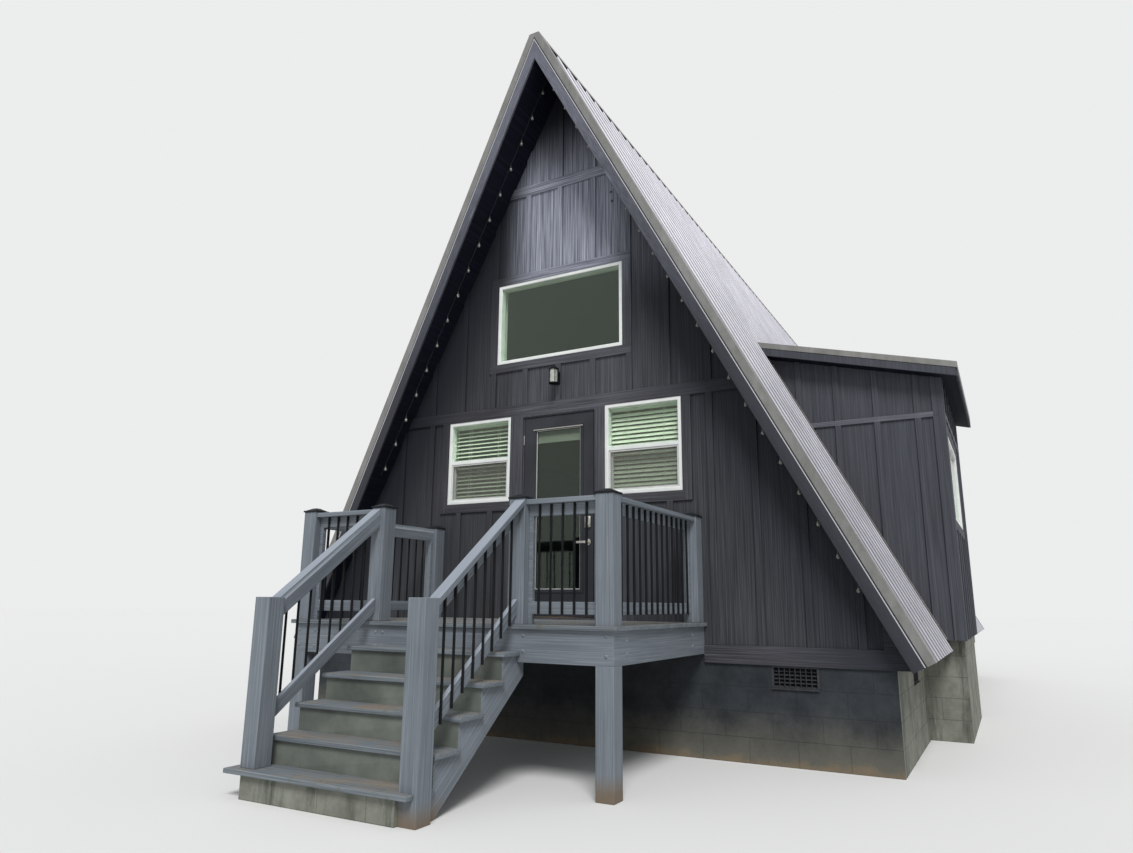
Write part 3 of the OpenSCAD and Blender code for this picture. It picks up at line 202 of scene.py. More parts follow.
def eave_shade_and_sheen(tree, point):
    """Cover of painted shade under the eaves, and of the pale middle: part fading, part painted
    sheen.
    """
    width = add(tree, "ShaderNodeMath", {0: point["X"]}, operation="ABSOLUTE")
    across_part = add(tree, "ShaderNodeMath", {0: width, 1: math.cos(roof_angle)},
                      operation="MULTIPLY")
    outward = add(tree, "ShaderNodeMath", {
        0: point["Z"], 1: math.sin(roof_angle), 2: across_part,
    }, operation="MULTIPLY_ADD")
    soffit_at = apex * math.sin(roof_angle) - soffit_depth
    eave_shade = add(tree, "ShaderNodeMapRange", {
        "Value": outward, "From Min": soffit_at - eave_shade_reach, "From Max": soffit_at - 0.15,
    }, interpolation_type="SMOOTHSTEP")
    # Where the fading and painted sheen start and end along an axis, and their strength at either
    # end
    faded_and_sheen = 1.0
    for axis, start, end, from_value, to_value in (
            ("Z", 4.2, 4.95, 0.12, 1.0), ("Z", 5.7, 6.7, 1.0, 0.0),
            ("X", -0.75, -0.25, 0.0, 1.0), ("X", 0.55, 0.95, 1.0, 0.3)):
        edge = add(tree, "ShaderNodeMapRange", {
            "Value": point[axis], "From Min": start, "From Max": end,
            "To Min": from_value, "To Max": to_value,
        }, interpolation_type="SMOOTHSTEP")
        faded_and_sheen = add(tree, "ShaderNodeMath", {0: faded_and_sheen, 1: edge}, operation="MULTIPLY")
    return eave_shade, faded_and_sheen


def knots(tree, place):
    """Layers of dark knots: two where the gable shows them and a sparse scatter elsewhere."""
    flat = add(tree, "ShaderNodeMapping", {"Vector": place, "Scale": [1, 0, 1]})
    layers = []
    for centre in ((0.631, 0, 5.573), (0.642, 0, 5.465)):
        away = add(tree, "ShaderNodeVectorMath", {0: flat, 1: centre}, operation="DISTANCE")
        layers.append((away.outputs["Value"], 0.009, 0.019, 0.9, 0.0, "#2b221d"))
    cells = add(tree, "ShaderNodeTexVoronoi", {"Vector": place, "Scale": 1.1})
    layers.append((cells.outputs["Distance"], 0.008, 0.022, 0.8, 0.0, "#1b1512"))
    return layers


def down_the_slope(tree, point):
    """The same place with X out of either roof slope and Z up along it."""
    width = add(tree, "ShaderNodeMath", {0: point["X"]}, operation="ABSOLUTE")
    folded = add(tree, "ShaderNodeCombineXYZ", {"X": width, "Y": point["Y"], "Z": point["Z"]})
    return add(tree, "ShaderNodeVectorRotate", {"Vector": folded, "Angle": roof_angle},
               rotation_type="Y_AXIS")


def upright_casings(tree, point):
    """1 on the boards of the gable's trim that stand upright, 0 on those that lie."""
    width = add(tree, "ShaderNodeMath", {0: point["X"]}, operation="ABSOLUTE")
    # Each band of height or width has a middle and half its size: the low casings, the
    # upper ones, the low sills, and the widths at which those sills lie
    low, high, sill, beside = [
        add(tree, "ShaderNodeMath", {0: value, 1: middle, 2: half}, operation="COMPARE")
        for value, middle, half in ((point["Z"], 2.21, 1.01), (point["Z"], 4.295, 0.455),
                                    (point["Z"], 2.27, 0.058), (width, 0.96, 0.42))]
    lying = add(tree, "ShaderNodeMath", {0: sill, 1: beside}, operation="MULTIPLY")
    standing = add(tree, "ShaderNodeMath", {0: low, 1: lying}, operation="SUBTRACT")
    return add(tree, "ShaderNodeMath", {0: standing, 1: high}, operation="MAXIMUM")


# The painted shade under the eaves reaches this far from the soffit
print("the eaves shelter the wall within", eave_shade_reach, "m of the soffit")

# %% [markdown]
# Grain runs along a board, whichever way the board lies. A grain is written here as the stretch
# of a pattern along X, Y and Z: it is small along the board. Where one solid holds boards that
# lie in two ways, their places or the way that their faces look tell them apart.

# %% Grain and cracks
upright = (1, 1, 0.012)
across = (0.012, 1, 1)
inward = (1, 0.012, 1)


def sloping_place(tree, place, point, lies):
    """The same place, turned with the boards of the roof or of the stair."""
    if lies == "roof":
        return down_the_slope(tree, point)
    return add(tree, "ShaderNodeVectorRotate", {"Vector": place, "Angle": -stair_angle},
               rotation_type="X_AXIS")


def turned_grain(tree, place, point, facing, streak_place, streak_mm, turned):
    """The streaks' place, with another grain on upright casings or on faces to the side."""
    if turned == "casings":
        where, other_grain = upright_casings(tree, point), upright
    else:
        squared = add(tree, "ShaderNodeMath", {0: facing["X"], 1: facing["X"]},
                      operation="MULTIPLY")
        where = add(tree, "ShaderNodeMath", {0: squared, 1: 0.25}, operation="GREATER_THAN")
        other_grain = inward
    other = add(tree, "ShaderNodeMapping", {
        "Vector": place, "Scale": [g * 1000 / streak_mm for g in other_grain],
    })
    either = add(tree, "ShaderNodeMix", {"Factor": where, "A": streak_place, "B": other},
                 data_type="VECTOR")
    return either.outputs["Result"]


def from_crack(tree, place, grain):
    """How far a stretched noise is from 0.5. Drying cracks lie where it crosses that value."""
    crack_place = add(tree, "ShaderNodeMapping", {
        "Vector": place, "Scale": [g * 20 for g in grain],
    })
    crack_noise = add(tree, "ShaderNodeTexNoise", {
        "Vector": crack_place, "Scale": 1.0, "Detail": 3.0, "Roughness": 0.45,
    })
    off_centre = add(tree, "ShaderNodeMath", {0: crack_noise, 1: 0.5}, operation="SUBTRACT")
    return add(tree, "ShaderNodeMath", {0: off_centre}, operation="ABSOLUTE")


print("a streak is", round(1 / upright[2]), "times as long as it is wide")

# %% [markdown]
# The streaks are a noise stretched along the grain, and the same noise lifts the surface, so that
# colour and saw marks agree. Over it lie the worn places, the sky's fading, drying cracks and
# dirt.

# %% Recipe of stained wood
def stained_wood(name, base, dark, pale, grain=upright, streak_mm=14, depth_mm=1.2, rough=0.72,
                 wear=0.35, cloud_m=1.3, gable=False, checks=0.0, foot_dirt=False, riser_tone_and_shade=None,
                 lies=None, turned=None, bleach_and_top_light=0.0, shine=0.25, foot_shade=None):
    """Wood under a solid stain. grain holds the stretch of the streaks along X, Y and Z.

    lies is "roof" or "stair" where the boards follow a slope, and turned is "casings" or
    "sides" where some of them have another grain than the rest.
    """
    material, tree, place = new_material(name)
    point = add(tree, "ShaderNodeSeparateXYZ", {"Vector": place}).outputs
    normal = add(tree, "ShaderNodeNewGeometry").outputs["Normal"]
    facing = add(tree, "ShaderNodeSeparateXYZ", {"Vector": normal}).outputs
    grain_place = sloping_place(tree, place, point, lies) if lies else place
    streak_place = add(tree, "ShaderNodeMapping", {
        "Vector": grain_place, "Scale": [g * 1000 / streak_mm for g in grain],
    })
    if turned:
        streak_place = turned_grain(tree, place, point, facing, streak_place, streak_mm, turned)
    streaks = add(tree, "ShaderNodeTexNoise", {
        "Vector": streak_place, "Scale": 1.0, "Detail": 6.0, "Roughness": 0.62,
    })
    clouds = add(tree, "ShaderNodeTexNoise", {
        "Vector": place, "Scale": 1 / cloud_m, "Detail": 5.0, "Roughness": 0.6,
    })
    streak_colour = add(tree, "ShaderNodeValToRGB", {"Fac": streaks})
    set_ramp(streak_colour, [(0.34, dark), (0.70, pale), (0.52, base)])
    layers = [(clouds, 0.40, 0.68, 0.0, wear, pale)]
    if gable:
        eave_shade, faded_and_sheen = eave_shade_and_sheen(tree, point)
        faded_and_sheen_colour = add(tree, "ShaderNodeValToRGB", {"Fac": streaks})
        set_ramp(faded_and_sheen_colour, [(0.36, "#565863"), (0.68, "#b0b3c0"), (0.52, "#8a8d9a")])
        # Painted shade darkens the wall near the soffits. The paler middle is partly fading,
        # partly painted sky sheen
        layers += [(eave_shade, 0.0, 1.0, 0.0, 0.85, "#12141c"),
                   (faded_and_sheen, 0.0, 1.0, 0.0, 1.0, faded_and_sheen_colour)]
        layers += knots(tree, place)
    if checks:
        layers.append((from_crack(tree, place, grain), 0.002, 0.009, checks, 0.0, dark))
    if riser_tone_and_shade:
        # Boards that face the stair's foot, the risers, are greener, and darker as painted shade
        # under the treads
        riser_colour_and_shade = add(tree, "ShaderNodeValToRGB", {"Fac": clouds})
        set_ramp(riser_colour_and_shade, [(0.34, riser_tone_and_shade[1]), (0.68, riser_tone_and_shade[2]), (0.50, riser_tone_and_shade[0])])
        layers.append((facing["Y"], -0.9, -0.6, 1.0, 0.0, riser_colour_and_shade))
    if bleach_and_top_light:
        # Faces that look up are paler: partly bleached by sun and rain, partly painted sky light
        # on tops
        layers.append((facing["Z"], 0.45, 0.85, 0.0, bleach_and_top_light, "#9fa6b2"))
    if foot_shade:
        # Painted shade: the lower part of a rake, which lies against the dark wall, is darker
        # towards its foot
        layers.append((point["Z"], 3.6, 6.3, 0.9, 0.0, foot_shade))
    if foot_dirt:
        level = add(tree, "ShaderNodeMath", {0: clouds, 1: -0.35, 2: point["Z"]},
                    operation="MULTIPLY_ADD")
        layers.append((level, -0.17, -0.02, 0.85, 0.0, "#6b5b47"))
    bump = add(tree, "ShaderNodeBump", {
        "Height": streaks, "Distance": depth_mm * mm, "Strength": 0.9,
    })
    roughness = add(tree, "ShaderNodeMapRange", {
        "Value": clouds, "To Min": rough - 0.10, "To Max": rough + 0.10,
    })
    close_material(tree, add(tree, "ShaderNodeBsdfPrincipled", {
        "Base Color": layered(tree, streak_colour, layers), "Roughness": roughness,
        "Normal": bump, "Specular IOR Level": shine,
    }))
    return material


print("recipe of stained wood ready")

# %% [markdown]
# Siding and boards differ in stain, grain and depth of their saw marks. The same recipe with a
# blue-grey stain gives the deck's posts and rails, which are planed and paler on top: partly
# weathering, partly painted sky light.

# %% Stained wood
rough_siding = stained_wood("rough_sawn_siding", "#353639", "#292a2c", "#46474b",
                            streak_mm=9, depth_mm=1.4, wear=0.25, gable=True, shine=0.2)
rough_boards = stained_wood("rough_sawn_boards", "#36363a", "#27272a", "#4f4f54", across,
                            streak_mm=7, depth_mm=1.0, wear=0.4, gable=True,
                            turned="casings")
dormer_siding = stained_wood("dormer_siding", "#45474e", "#383a3f", "#515359",
                             streak_mm=9, depth_mm=1.3, wear=0.25, shine=0.2)
dormer_belt = stained_wood("dormer_belt", "#5b5c64", "#494a51", "#70717a", across,
                           streak_mm=8, depth_mm=0.6)
# The soffits' black stain is darker than the walls': painted shade under the roof
soffit_black_and_shade = stained_wood("soffit_black_and_shade", "#151722", "#0e1017", "#212433", inward,
                            depth_mm=0.6, rough=0.7, wear=0.2, shine=0.12)
rake_stain = stained_wood("rake_stain", "#5d5f69", "#4a4c55", "#7b7d89",
                          streak_mm=8, depth_mm=0.5, wear=0.3, lies="roof",
                          foot_shade="#303137")
grey_stain = dict(base="#6a7178", dark="#5b6269", pale="#828990", streak_mm=9, depth_mm=0.5,
                  rough=0.62, wear=0.3, cloud_m=0.7, checks=0.35, bleach_and_top_light=0.7, shine=0.35)
grey_upright = stained_wood("grey_stain_upright", foot_dirt=True, **grey_stain)
grey_across = stained_wood("grey_stain_across", grain=across, turned="sides", **grey_stain)
grey_inward = stained_wood("grey_stain_inward", grain=inward, **grey_stain)
grey_rail = stained_wood("grey_stain_stair_rail", grain=inward, lies="stair", **grey_stain)
stair_stain = stained_wood("stair_stain", grain=inward, lies="stair", foot_dirt=True,
                           riser_tone_and_shade=("#5b605a", "#474b46", "#757a73"), **grey_stain)
cap_stain = stained_wood("cap_stain", "#1d1f22", "#15161a", "#303236", grain=across,
                         streak_mm=8, depth_mm=0.4, shine=0.15)
bare_floor = stained_wood("bare_floor", "#8a6f50", "#6b5238", "#a98b68", grain=inward,
                          streak_mm=20, wear=0.2)
print("wood finishes made")

# %% [markdown]
# ## Walked-on wood
# Treads and deck boards get the same stain as the rails, but feet wear it off. The worn middle
# shows brown wood, and a film of dirt and moss stays near the edges. A broad noise, kept to
# faces that look up, drives the change from stain to bare wood. Each deck board carries a
# number of its own, which shifts the grain and the shade from board to board.

# %% Worn tread wood
def walked_wood(name, grain, tinted=False, streak_mm=9):
    """Blue-grey stain that is worn to brown wood on top."""
    material, tree, place = new_material(name)
    normal = add(tree, "ShaderNodeNewGeometry").outputs["Normal"]
    facing = add(tree, "ShaderNodeSeparateXYZ", {"Vector": normal}).outputs
    shift = 0.0
    if tinted:
        shift = add(tree, "ShaderNodeAttribute", attribute_name="board").outputs["Fac"]
    stretched = add(tree, "ShaderNodeMapping", {
        "Vector": place, "Scale": [g * 1000 / streak_mm for g in grain],
    })
    streaks = add(tree, "ShaderNodeTexNoise", {
        "Vector": stretched, "W": shift, "Scale": 1.0, "Detail": 6.0, "Roughness": 0.6,
    }, noise_dimensions="4D")
    stain = add(tree, "ShaderNodeValToRGB", {"Fac": streaks})
    set_ramp(stain, [(0.35, "#50575c"), (0.68, "#7f878d")])
    bare = add(tree, "ShaderNodeValToRGB", {"Fac": streaks})
    set_ramp(bare, [(0.35, "#5d5347"), (0.68, "#94887a")])
    patches = add(tree, "ShaderNodeTexNoise", {
        "Vector": place, "Scale": 2.6, "Detail": 7.0, "Roughness": 0.66,
    })
    patch = add(tree, "ShaderNodeMapRange", {
        "Value": patches, "From Min": 0.42, "From Max": 0.62,
    })
    on_top = add(tree, "ShaderNodeMapRange", {
        "Value": facing["Z"], "From Min": 0.6, "From Max": 0.95, "To Max": 0.85,
    })
    worn = add(tree, "ShaderNodeMath", {0: patch, 1: on_top}, operation="MULTIPLY")
    moss_noise = add(tree, "ShaderNodeTexNoise", {
        "Vector": place, "Scale": 9.0, "Detail": 8.0, "Roughness": 0.7,
    })
    layers = [(worn, 0.0, 1.0, 0.0, 1.0, bare),
              (moss_noise, 0.56, 0.68, 0.0, 0.55, "#5b5c45")]
    if tinted:
        layers.append((shift, 0.0, 1.0, 0.0, 0.3, "#3f4448"))
    bump = add(tree, "ShaderNodeBump", {
        "Height": streaks, "Distance": 0.6 * mm, "Strength": 0.9,
    })
    close_material(tree, add(tree, "ShaderNodeBsdfPrincipled", {
        "Base Color": layered(tree, stain, layers), "Roughness": 0.72, "Normal": bump,
        "Specular IOR Level": 0.3,
    }))
    return material


worn_tread = walked_wood("worn_tread_wood", across)
worn_board = walked_wood("worn_deck_wood", across, tinted=True)
print("walked-on wood made")

# %% [markdown]
# ## Coated sheet metal
# The roof is roll-formed steel with a baked coat, satin and a little faded. Rain leaves faint
# streaks down the slope, so the noise is stretched along the fall of the roof. The bands along
# the edges are darker, a grey tan, and dust has settled on them in mottled patches.

# %% Roof metal
def coated_steel(name, base, pale, rough, fall, streak_mm=40, mottle=0.0, ribbed=False,
                 hemmed=False):
    """Roll-formed steel with a satin baked coat, streaked along fall."""
    material, tree, place = new_material(name)
    stretched = add(tree, "ShaderNodeMapping", {
        "Vector": place, "Scale": [f * 1000 / streak_mm for f in fall],
    })
    streaks = add(tree, "ShaderNodeTexNoise", {
        "Vector": stretched, "Scale": 1.0, "Detail": 5.0, "Roughness": 0.6,
    })
    dust = add(tree, "ShaderNodeTexNoise", {
        "Vector": place, "Scale": 7.0, "Detail": 8.0, "Roughness": 0.72,
    })
    layers = [(streaks, 0.3, 0.75, 0.0, 1.0, pale),
              (dust, 0.48, 0.66, 0.0, 0.15 + mottle, "#5d5b52")]
    point = add(tree, "ShaderNodeSeparateXYZ", {"Vector": place}).outputs
    if ribbed:
        # Dust and shade lie along the foot of each tall rib
        start = add(tree, "ShaderNodeMath", {0: point["Y"], 1: first_rib},
                    operation="SUBTRACT")
        from_rib = add(tree, "ShaderNodeMath", {0: start, 1: rib_pitch / 2},
                       operation="PINGPONG")
        foot = add(tree, "ShaderNodeMath", {0: from_rib, 1: 0.036, 2: 0.016},
                   operation="COMPARE")
        layers.append((foot, 0.0, 1.0, 0.0, 0.8, "#414147"))
    if hemmed:
        # The folded hem at the band's foot shines, and the joint over it lies in shadow
        slope = add(tree, "ShaderNodeSeparateXYZ", {"Vector": down_the_slope(tree, point)})
        out = add(tree, "ShaderNodeMath", {
            0: slope.outputs["X"], 1: apex * math.sin(roof_angle),
        }, operation="SUBTRACT")
        for middle, half, over in ((-0.052, 0.0055, "#1c1c1f"), (-0.068, 0.0098, "#b9babf")):
            line = add(tree, "ShaderNodeMath", {0: out, 1: middle, 2: half},
                       operation="COMPARE")
            layers.append((line, 0.0, 1.0, 0.0, 1.0, over))
    roughness = add(tree, "ShaderNodeMapRange", {
        "Value": streaks, "To Min": rough - 0.08, "To Max": rough + 0.12,
    })
    close_material(tree, add(tree, "ShaderNodeBsdfPrincipled", {
        "Base Color": layered(tree, base, layers), "Roughness": roughness, "Metallic": 0.25,
    }))
    return material


down_fall = (0.06, 1, 0.06)
band_fall = (0.3, 1, 0.1)
sheet_metal = coated_steel("roof_sheet_coat", "#9c9ba3", "#b7b6bd", 0.34, down_fall,
                           ribbed=True)
dormer_sheet = coated_steel("dormer_sheet_coat", "#9c9ba3", "#b7b6bd", 0.34, down_fall)
# Painted shade: the low ribs are a darker copy of the sheet's coat, so that they show as fine dark
# lines
low_rib_shade_coat = coated_steel("low_rib_shaded_coat", "#7c7b83", "#93929a", 0.34, down_fall)
edge_metal = coated_steel("roof_edge_coat", "#767571", "#8e8d8b", 0.42, band_fall, mottle=0.2)
rake_band = coated_steel("rake_band_coat", "#737370", "#8b8a89", 0.42, band_fall, mottle=0.2,
                         hemmed=True)
flashing_metal = coated_steel("flashing_coat", "#8a877c", "#a39f93", 0.5, (0.3, 1, 0.2),
                              mottle=0.45)
screw_metal = coated_steel("screw_coat", "#8f8e93", "#a5a4a9", 0.4, (1, 1, 1), streak_mm=4)
print("metal finishes made")

# %% [markdown]
# ## Masonry
# The foundation is block work. Its front has black paint that earth and rain have browned near
# the ground, and the joints show only as a faint pattern under the paint. Its sides are bare:
# grey-green, with dark runs of damp. The wall's own place tells the two apart, because the
# front's face has the lowest Y.

# %% Foundation finish
block_length, block_height, joint_width = 0.406, 0.203, 0.010


def masonry(name, painted_front):
    """Weathered blocks, with black paint on the faces at the front."""
    material, tree, place = new_material(name)
    point = add(tree, "ShaderNodeSeparateXYZ", {"Vector": place}).outputs
    around = add(tree, "ShaderNodeMath", {0: point["X"], 1: point["Y"]}, operation="ADD")
    unrolled = add(tree, "ShaderNodeCombineXYZ", {"X": around, "Y": point["Z"]})
    blocks = add(tree, "ShaderNodeTexBrick", {
        "Vector": unrolled, "Scale": 1.0, "Mortar Size": joint_width / 2,
        "Mortar Smooth": 0.6, "Brick Width": block_length, "Row Height": block_height,
    }).outputs["Fac"]
    mottle = add(tree, "ShaderNodeTexNoise", {
        "Vector": place, "Scale": 3.2, "Detail": 9.0, "Roughness": 0.7,
    })
    grit = add(tree, "ShaderNodeTexNoise", {
        "Vector": place, "Scale": 60.0, "Detail": 5.0, "Roughness": 0.7,
    })
    runs_at = add(tree, "ShaderNodeMapping", {"Vector": place, "Scale": [6, 6, 0.7]})
    runs = add(tree, "ShaderNodeTexNoise", {
        "Vector": runs_at, "Scale": 1.0, "Detail": 8.0, "Roughness": 0.72,
    })
    bare = add(tree, "ShaderNodeValToRGB", {"Fac": mottle})
    set_ramp(bare, [(0.3, "#61635a"), (0.7, "#8d8f84")])
    layers = [(runs, 0.5, 0.66, 0.0, 0.75, "#363a33")]
    if painted_front:
        paint = add(tree, "ShaderNodeValToRGB", {"Fac": mottle})
        set_ramp(paint, [(0.3, "#222529"), (0.75, "#393d41")])
        level = add(tree, "ShaderNodeMath", {0: mottle, 1: -0.35, 2: point["Z"]},
                    operation="MULTIPLY_ADD")
        soiled = layered(tree, paint, [(level, -0.20, 0.32, 0.78, 0.0, "#67655b"),
                                       (level, -0.19, -0.09, 0.75, 0.0, "#7a6a54")], soft=True)
        front = add(tree, "ShaderNodeMath", {0: point["Y"], 1: house_front + 0.004},
                    operation="LESS_THAN")
        layers.append((front, 0.0, 1.0, 0.0, 1.0, soiled))
    layers.append((blocks, 0.0, 1.0, 0.0, 0.3, "#26282a"))
    fine = add(tree, "ShaderNodeBump", {"Height": grit, "Distance": 4 * mm, "Strength": 0.7})
    sunk = add(tree, "ShaderNodeBump", {
        "Height": blocks, "Distance": 3 * mm, "Strength": 0.6, "Normal": fine,
    }, invert=True)
    close_material(tree, add(tree, "ShaderNodeBsdfPrincipled", {
        "Base Color": layered(tree, bare, layers), "Roughness": 0.88, "Normal": sunk,
        "Specular IOR Level": 0.25,
    }))
    return material


wall_masonry = masonry("foundation_masonry", True)
plain_masonry = masonry("plain_masonry", False)
print("masonry made")

# %% [markdown]
# ## Vinyl, glass, enamel and the rest
# Window frames are white vinyl, a little chalky. The door is steel with semi-gloss black
# enamel, and the small metal parts have a matte black powder coat. One recipe with a faint
# noise in colour and roughness serves all of these smooth coats. Panes mirror what is in front
# of them and let the light through to the blinds: a plain shader for light, so that the blinds
# aren't lit through a caustic.

# %% Smooth coats, glass and mesh
def smooth_coat(name, base, pale, rough, cloud_mm=120, metallic=0.0, bump_mm=0.0, grain_mm=2.0,
                coat=0.0, shine=0.5):
    """A moulded or coated surface whose colour and gloss vary a little."""
    material, tree, place = new_material(name)
    clouds = add(tree, "ShaderNodeTexNoise", {
        "Vector": place, "Scale": 1000 / cloud_mm, "Detail": 6.0, "Roughness": 0.6,
    })
    roughness = add(tree, "ShaderNodeMapRange", {
        "Value": clouds, "To Min": rough - 0.06, "To Max": rough + 0.08,
    })
    inputs = {
        "Base Color": layered(tree, base, [(clouds, 0.35, 0.7, 0.0, 1.0, pale)]),
        "Roughness": roughness, "Metallic": metallic, "Coat Weight": coat,
        "Specular IOR Level": shine,
    }
    if bump_mm:
        grain = add(tree, "ShaderNodeTexNoise", {
            "Vector": place, "Scale": 1000 / grain_mm, "Detail": 3.0,
        })
        inputs["Normal"] = add(tree, "ShaderNodeBump", {
            "Height": grain, "Distance": bump_mm * mm, "Strength": 0.6,
        })
    close_material(tree, add(tree, "ShaderNodeBsdfPrincipled", inputs))
    return material


def clear_glass(name, tint, rough=0.02):
    """Double glazing: greenish reflections, a painted reflection of green surroundings, and
    blinds.
    """
    material, tree, place = new_material(name)
    waves = add(tree, "ShaderNodeTexNoise", {"Vector": place, "Scale": 2.2, "Detail": 1.0})
    bump = add(tree, "ShaderNodeBump", {"Height": waves, "Distance": 4 * mm, "Strength": 0.25})
    smudges = add(tree, "ShaderNodeTexNoise", {"Vector": place, "Scale": 5.0, "Detail": 6.0})
    film = add(tree, "ShaderNodeMapRange", {
        "Value": smudges, "To Min": rough, "To Max": rough + 0.03,
    })
    # The green specular tint is a painted reflection of green surroundings; the base colour is the
    # glass's own tint
    pane = add(tree, "ShaderNodeBsdfPrincipled", {
        "Base Color": tint, "Roughness": film, "IOR": 1.65, "Transmission Weight": 1.0,
        "Specular Tint": "#cfdccf", "Normal": bump,
    })
    clear = add(tree, "ShaderNodeBsdfTransparent", {"Color": "#f3f7f4"})
    light = add(tree, "ShaderNodeLightPath")
    close_material(tree, add(tree, "ShaderNodeMixShader", {
        0: light.outputs["Is Shadow Ray"], 1: pane, 2: clear,
    }))
    return material


def woven_screen(name):
    """Fine insect mesh. Its wires are far below a pixel, so it reads as a thin grey veil."""
    material, tree, place = new_material(name)
    sag = add(tree, "ShaderNodeTexNoise", {"Vector": place, "Scale": 6.0, "Detail": 3.0})
    cover = add(tree, "ShaderNodeMapRange", {"Value": sag, "To Min": 0.38, "To Max": 0.50})
    colour = layered(tree, "#56554f", [(sag, 0.0, 1.0, 0.0, 1.0, "#6e6c64")])
    close_material(tree, add(tree, "ShaderNodeBsdfPrincipled", {
        "Base Color": colour, "Roughness": 0.7, "Alpha": cover,
    }))
    return material


white_vinyl = smooth_coat("white_vinyl", "#e3e5e2", "#cfd2cf", 0.42, cloud_mm=300)
lining_paint = smooth_coat("lining_paint", "#ccd1c6", "#b6bcae", 0.5, cloud_mm=200,
                           bump_mm=0.05, grain_mm=3)
screen_paint = smooth_coat("screen_frame_paint", "#cfd1cd", "#b9bcb8", 0.45, cloud_mm=90)
slat_paint = smooth_coat("blind_slats", "#e2e2d6", "#d0d1c3", 0.5, cloud_mm=80)
tape_cloth = smooth_coat("blind_tapes", "#d6d6ca", "#bfc0b3", 0.8, cloud_mm=30, bump_mm=0.2)
door_enamel = smooth_coat("door_enamel", "#232429", "#303137", 0.4, cloud_mm=400, shine=0.3)
powder_coat = smooth_coat("black_powder_coat", "#0c0d0f", "#151618", 0.58, bump_mm=0.05,
                          shine=0.15)
vent_coat = smooth_coat("vent_coat", "#2b2d30", "#3b3d40", 0.55, cloud_mm=60, bump_mm=0.08,
                        shine=0.25)
satin_nickel = smooth_coat("satin_nickel", "#c4c1ba", "#a8a59e", 0.28, cloud_mm=30,
                           metallic=0.9)
button_rubber = smooth_coat("button_rubber", "#2a2b2d", "#3a3b3d", 0.6, cloud_mm=8)
# Painted highlight: a pale strip that stands for the light caught by the edges round the door's
# glass
edge_highlight_strip = smooth_coat("edge_highlight_strip", "#b9bbb6", "#9da09b", 0.55, cloud_mm=60)
lantern_glass = smooth_coat("seeded_glass", "#8f938c", "#c3c6be", 0.25, cloud_mm=14, bump_mm=0.6,
                            grain_mm=9.0, coat=0.4)
black_plastic = smooth_coat("black_plastic", "#16171a", "#222326", 0.5, cloud_mm=25)
bulb_glass = smooth_coat("bulb_glass", "#63645f", "#8b8c84", 0.12, cloud_mm=18, coat=0.6)
pane_glass = clear_glass("pane_glass", "#dcebdd")
door_pane = clear_glass("door_pane", "#929c94")
screen_cloth = woven_screen("insect_screen")
print("finishes made:", len(bpy.data.materials))

# %% [markdown]
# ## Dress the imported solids
# Each solid gets its finish by its own name. The order of the list follows the way that the
# cabin is built, from the ground up.

# %% Finishes of the solids
finishes = {
    wall_masonry: ["foundation"],
    plain_masonry: ["stair_footing", "dormer_floor"],
    bare_floor: ["floor", "loft_floor"],
    rough_siding: ["front_wall_left", "front_wall_right", "front_wall_gable", "rear_wall",
                   "gable_battens"],
    rough_boards: ["gable_trim", "door_frame"],
    dormer_siding: ["dormer_walls", "dormer_trim"],
    soffit_black_and_shade: ["roof_left", "roof_right", "dormer_roof"],
    rake_stain: ["rake_boards"],
    sheet_metal: ["roof_metal_left", "roof_metal_right"],
    dormer_sheet: ["dormer_metal"],
    edge_metal: ["ridge_cap"],
    rake_band: ["rake_metal"],
    flashing_metal: ["dormer_flashing"],
    white_vinyl: ["lower_windows", "upper_window", "dormer_window"],
    lining_paint: ["window_linings"],
    screen_paint: ["screen_frames"],
    pane_glass: ["lower_glass", "upper_glass", "dormer_glass"],
    slat_paint: ["window_blinds"],
    door_enamel: ["door_leaf"],
    door_pane: ["door_glass"],
    satin_nickel: ["door_handle", "door_hinges", "hinge_leaves", "door_drip"],
    vent_coat: ["foundation_vents"],
    powder_coat: ["lantern", "balusters"],
    lantern_glass: ["lantern_glass"],
    black_plastic: ["light_string"],
    bulb_glass: ["light_bulbs"],
    grey_across: ["deck_frame", "rail_front_left", "rail_front_right"],
    grey_inward: ["rail_side_left", "rail_side_right"],
    grey_rail: ["rail_stair_left", "rail_stair_right"],
    stair_stain: ["stair_frame"],
    grey_upright: ["deck_posts", "stair_posts"],
    cap_stain: ["post_caps"],
    worn_tread: ["deck_boards", "stair_treads"],
}
for material, names in finishes.items():
    for name in names:
        solid = nodes[name].data
        solid.materials.clear()
        solid.materials.append(material)
dressed = {name for names in finishes.values() for name in names}
print("solids without a finish:", sorted(set(nodes) - dressed))

# %% [markdown]
# ## From a mesh to a piece
# Every piece ends in the same way. Its mesh gets an object, which moves with the house or with
# the door. New boards, rails and panes also get their edges rounded: a bevel only where two
# faces meet at a clear angle, and smooth shading only across the small faces of the bevel, so
# that the flats stay flat in the light.

# %% Put a piece in the scene
def piece_of(name, mesh, body="house"):
    """The object of a mesh, which moves with a body."""
    piece = bpy.data.objects.new(name, mesh)
    bpy.context.scene.collection.objects.link(piece)
    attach(piece, body)
    return piece


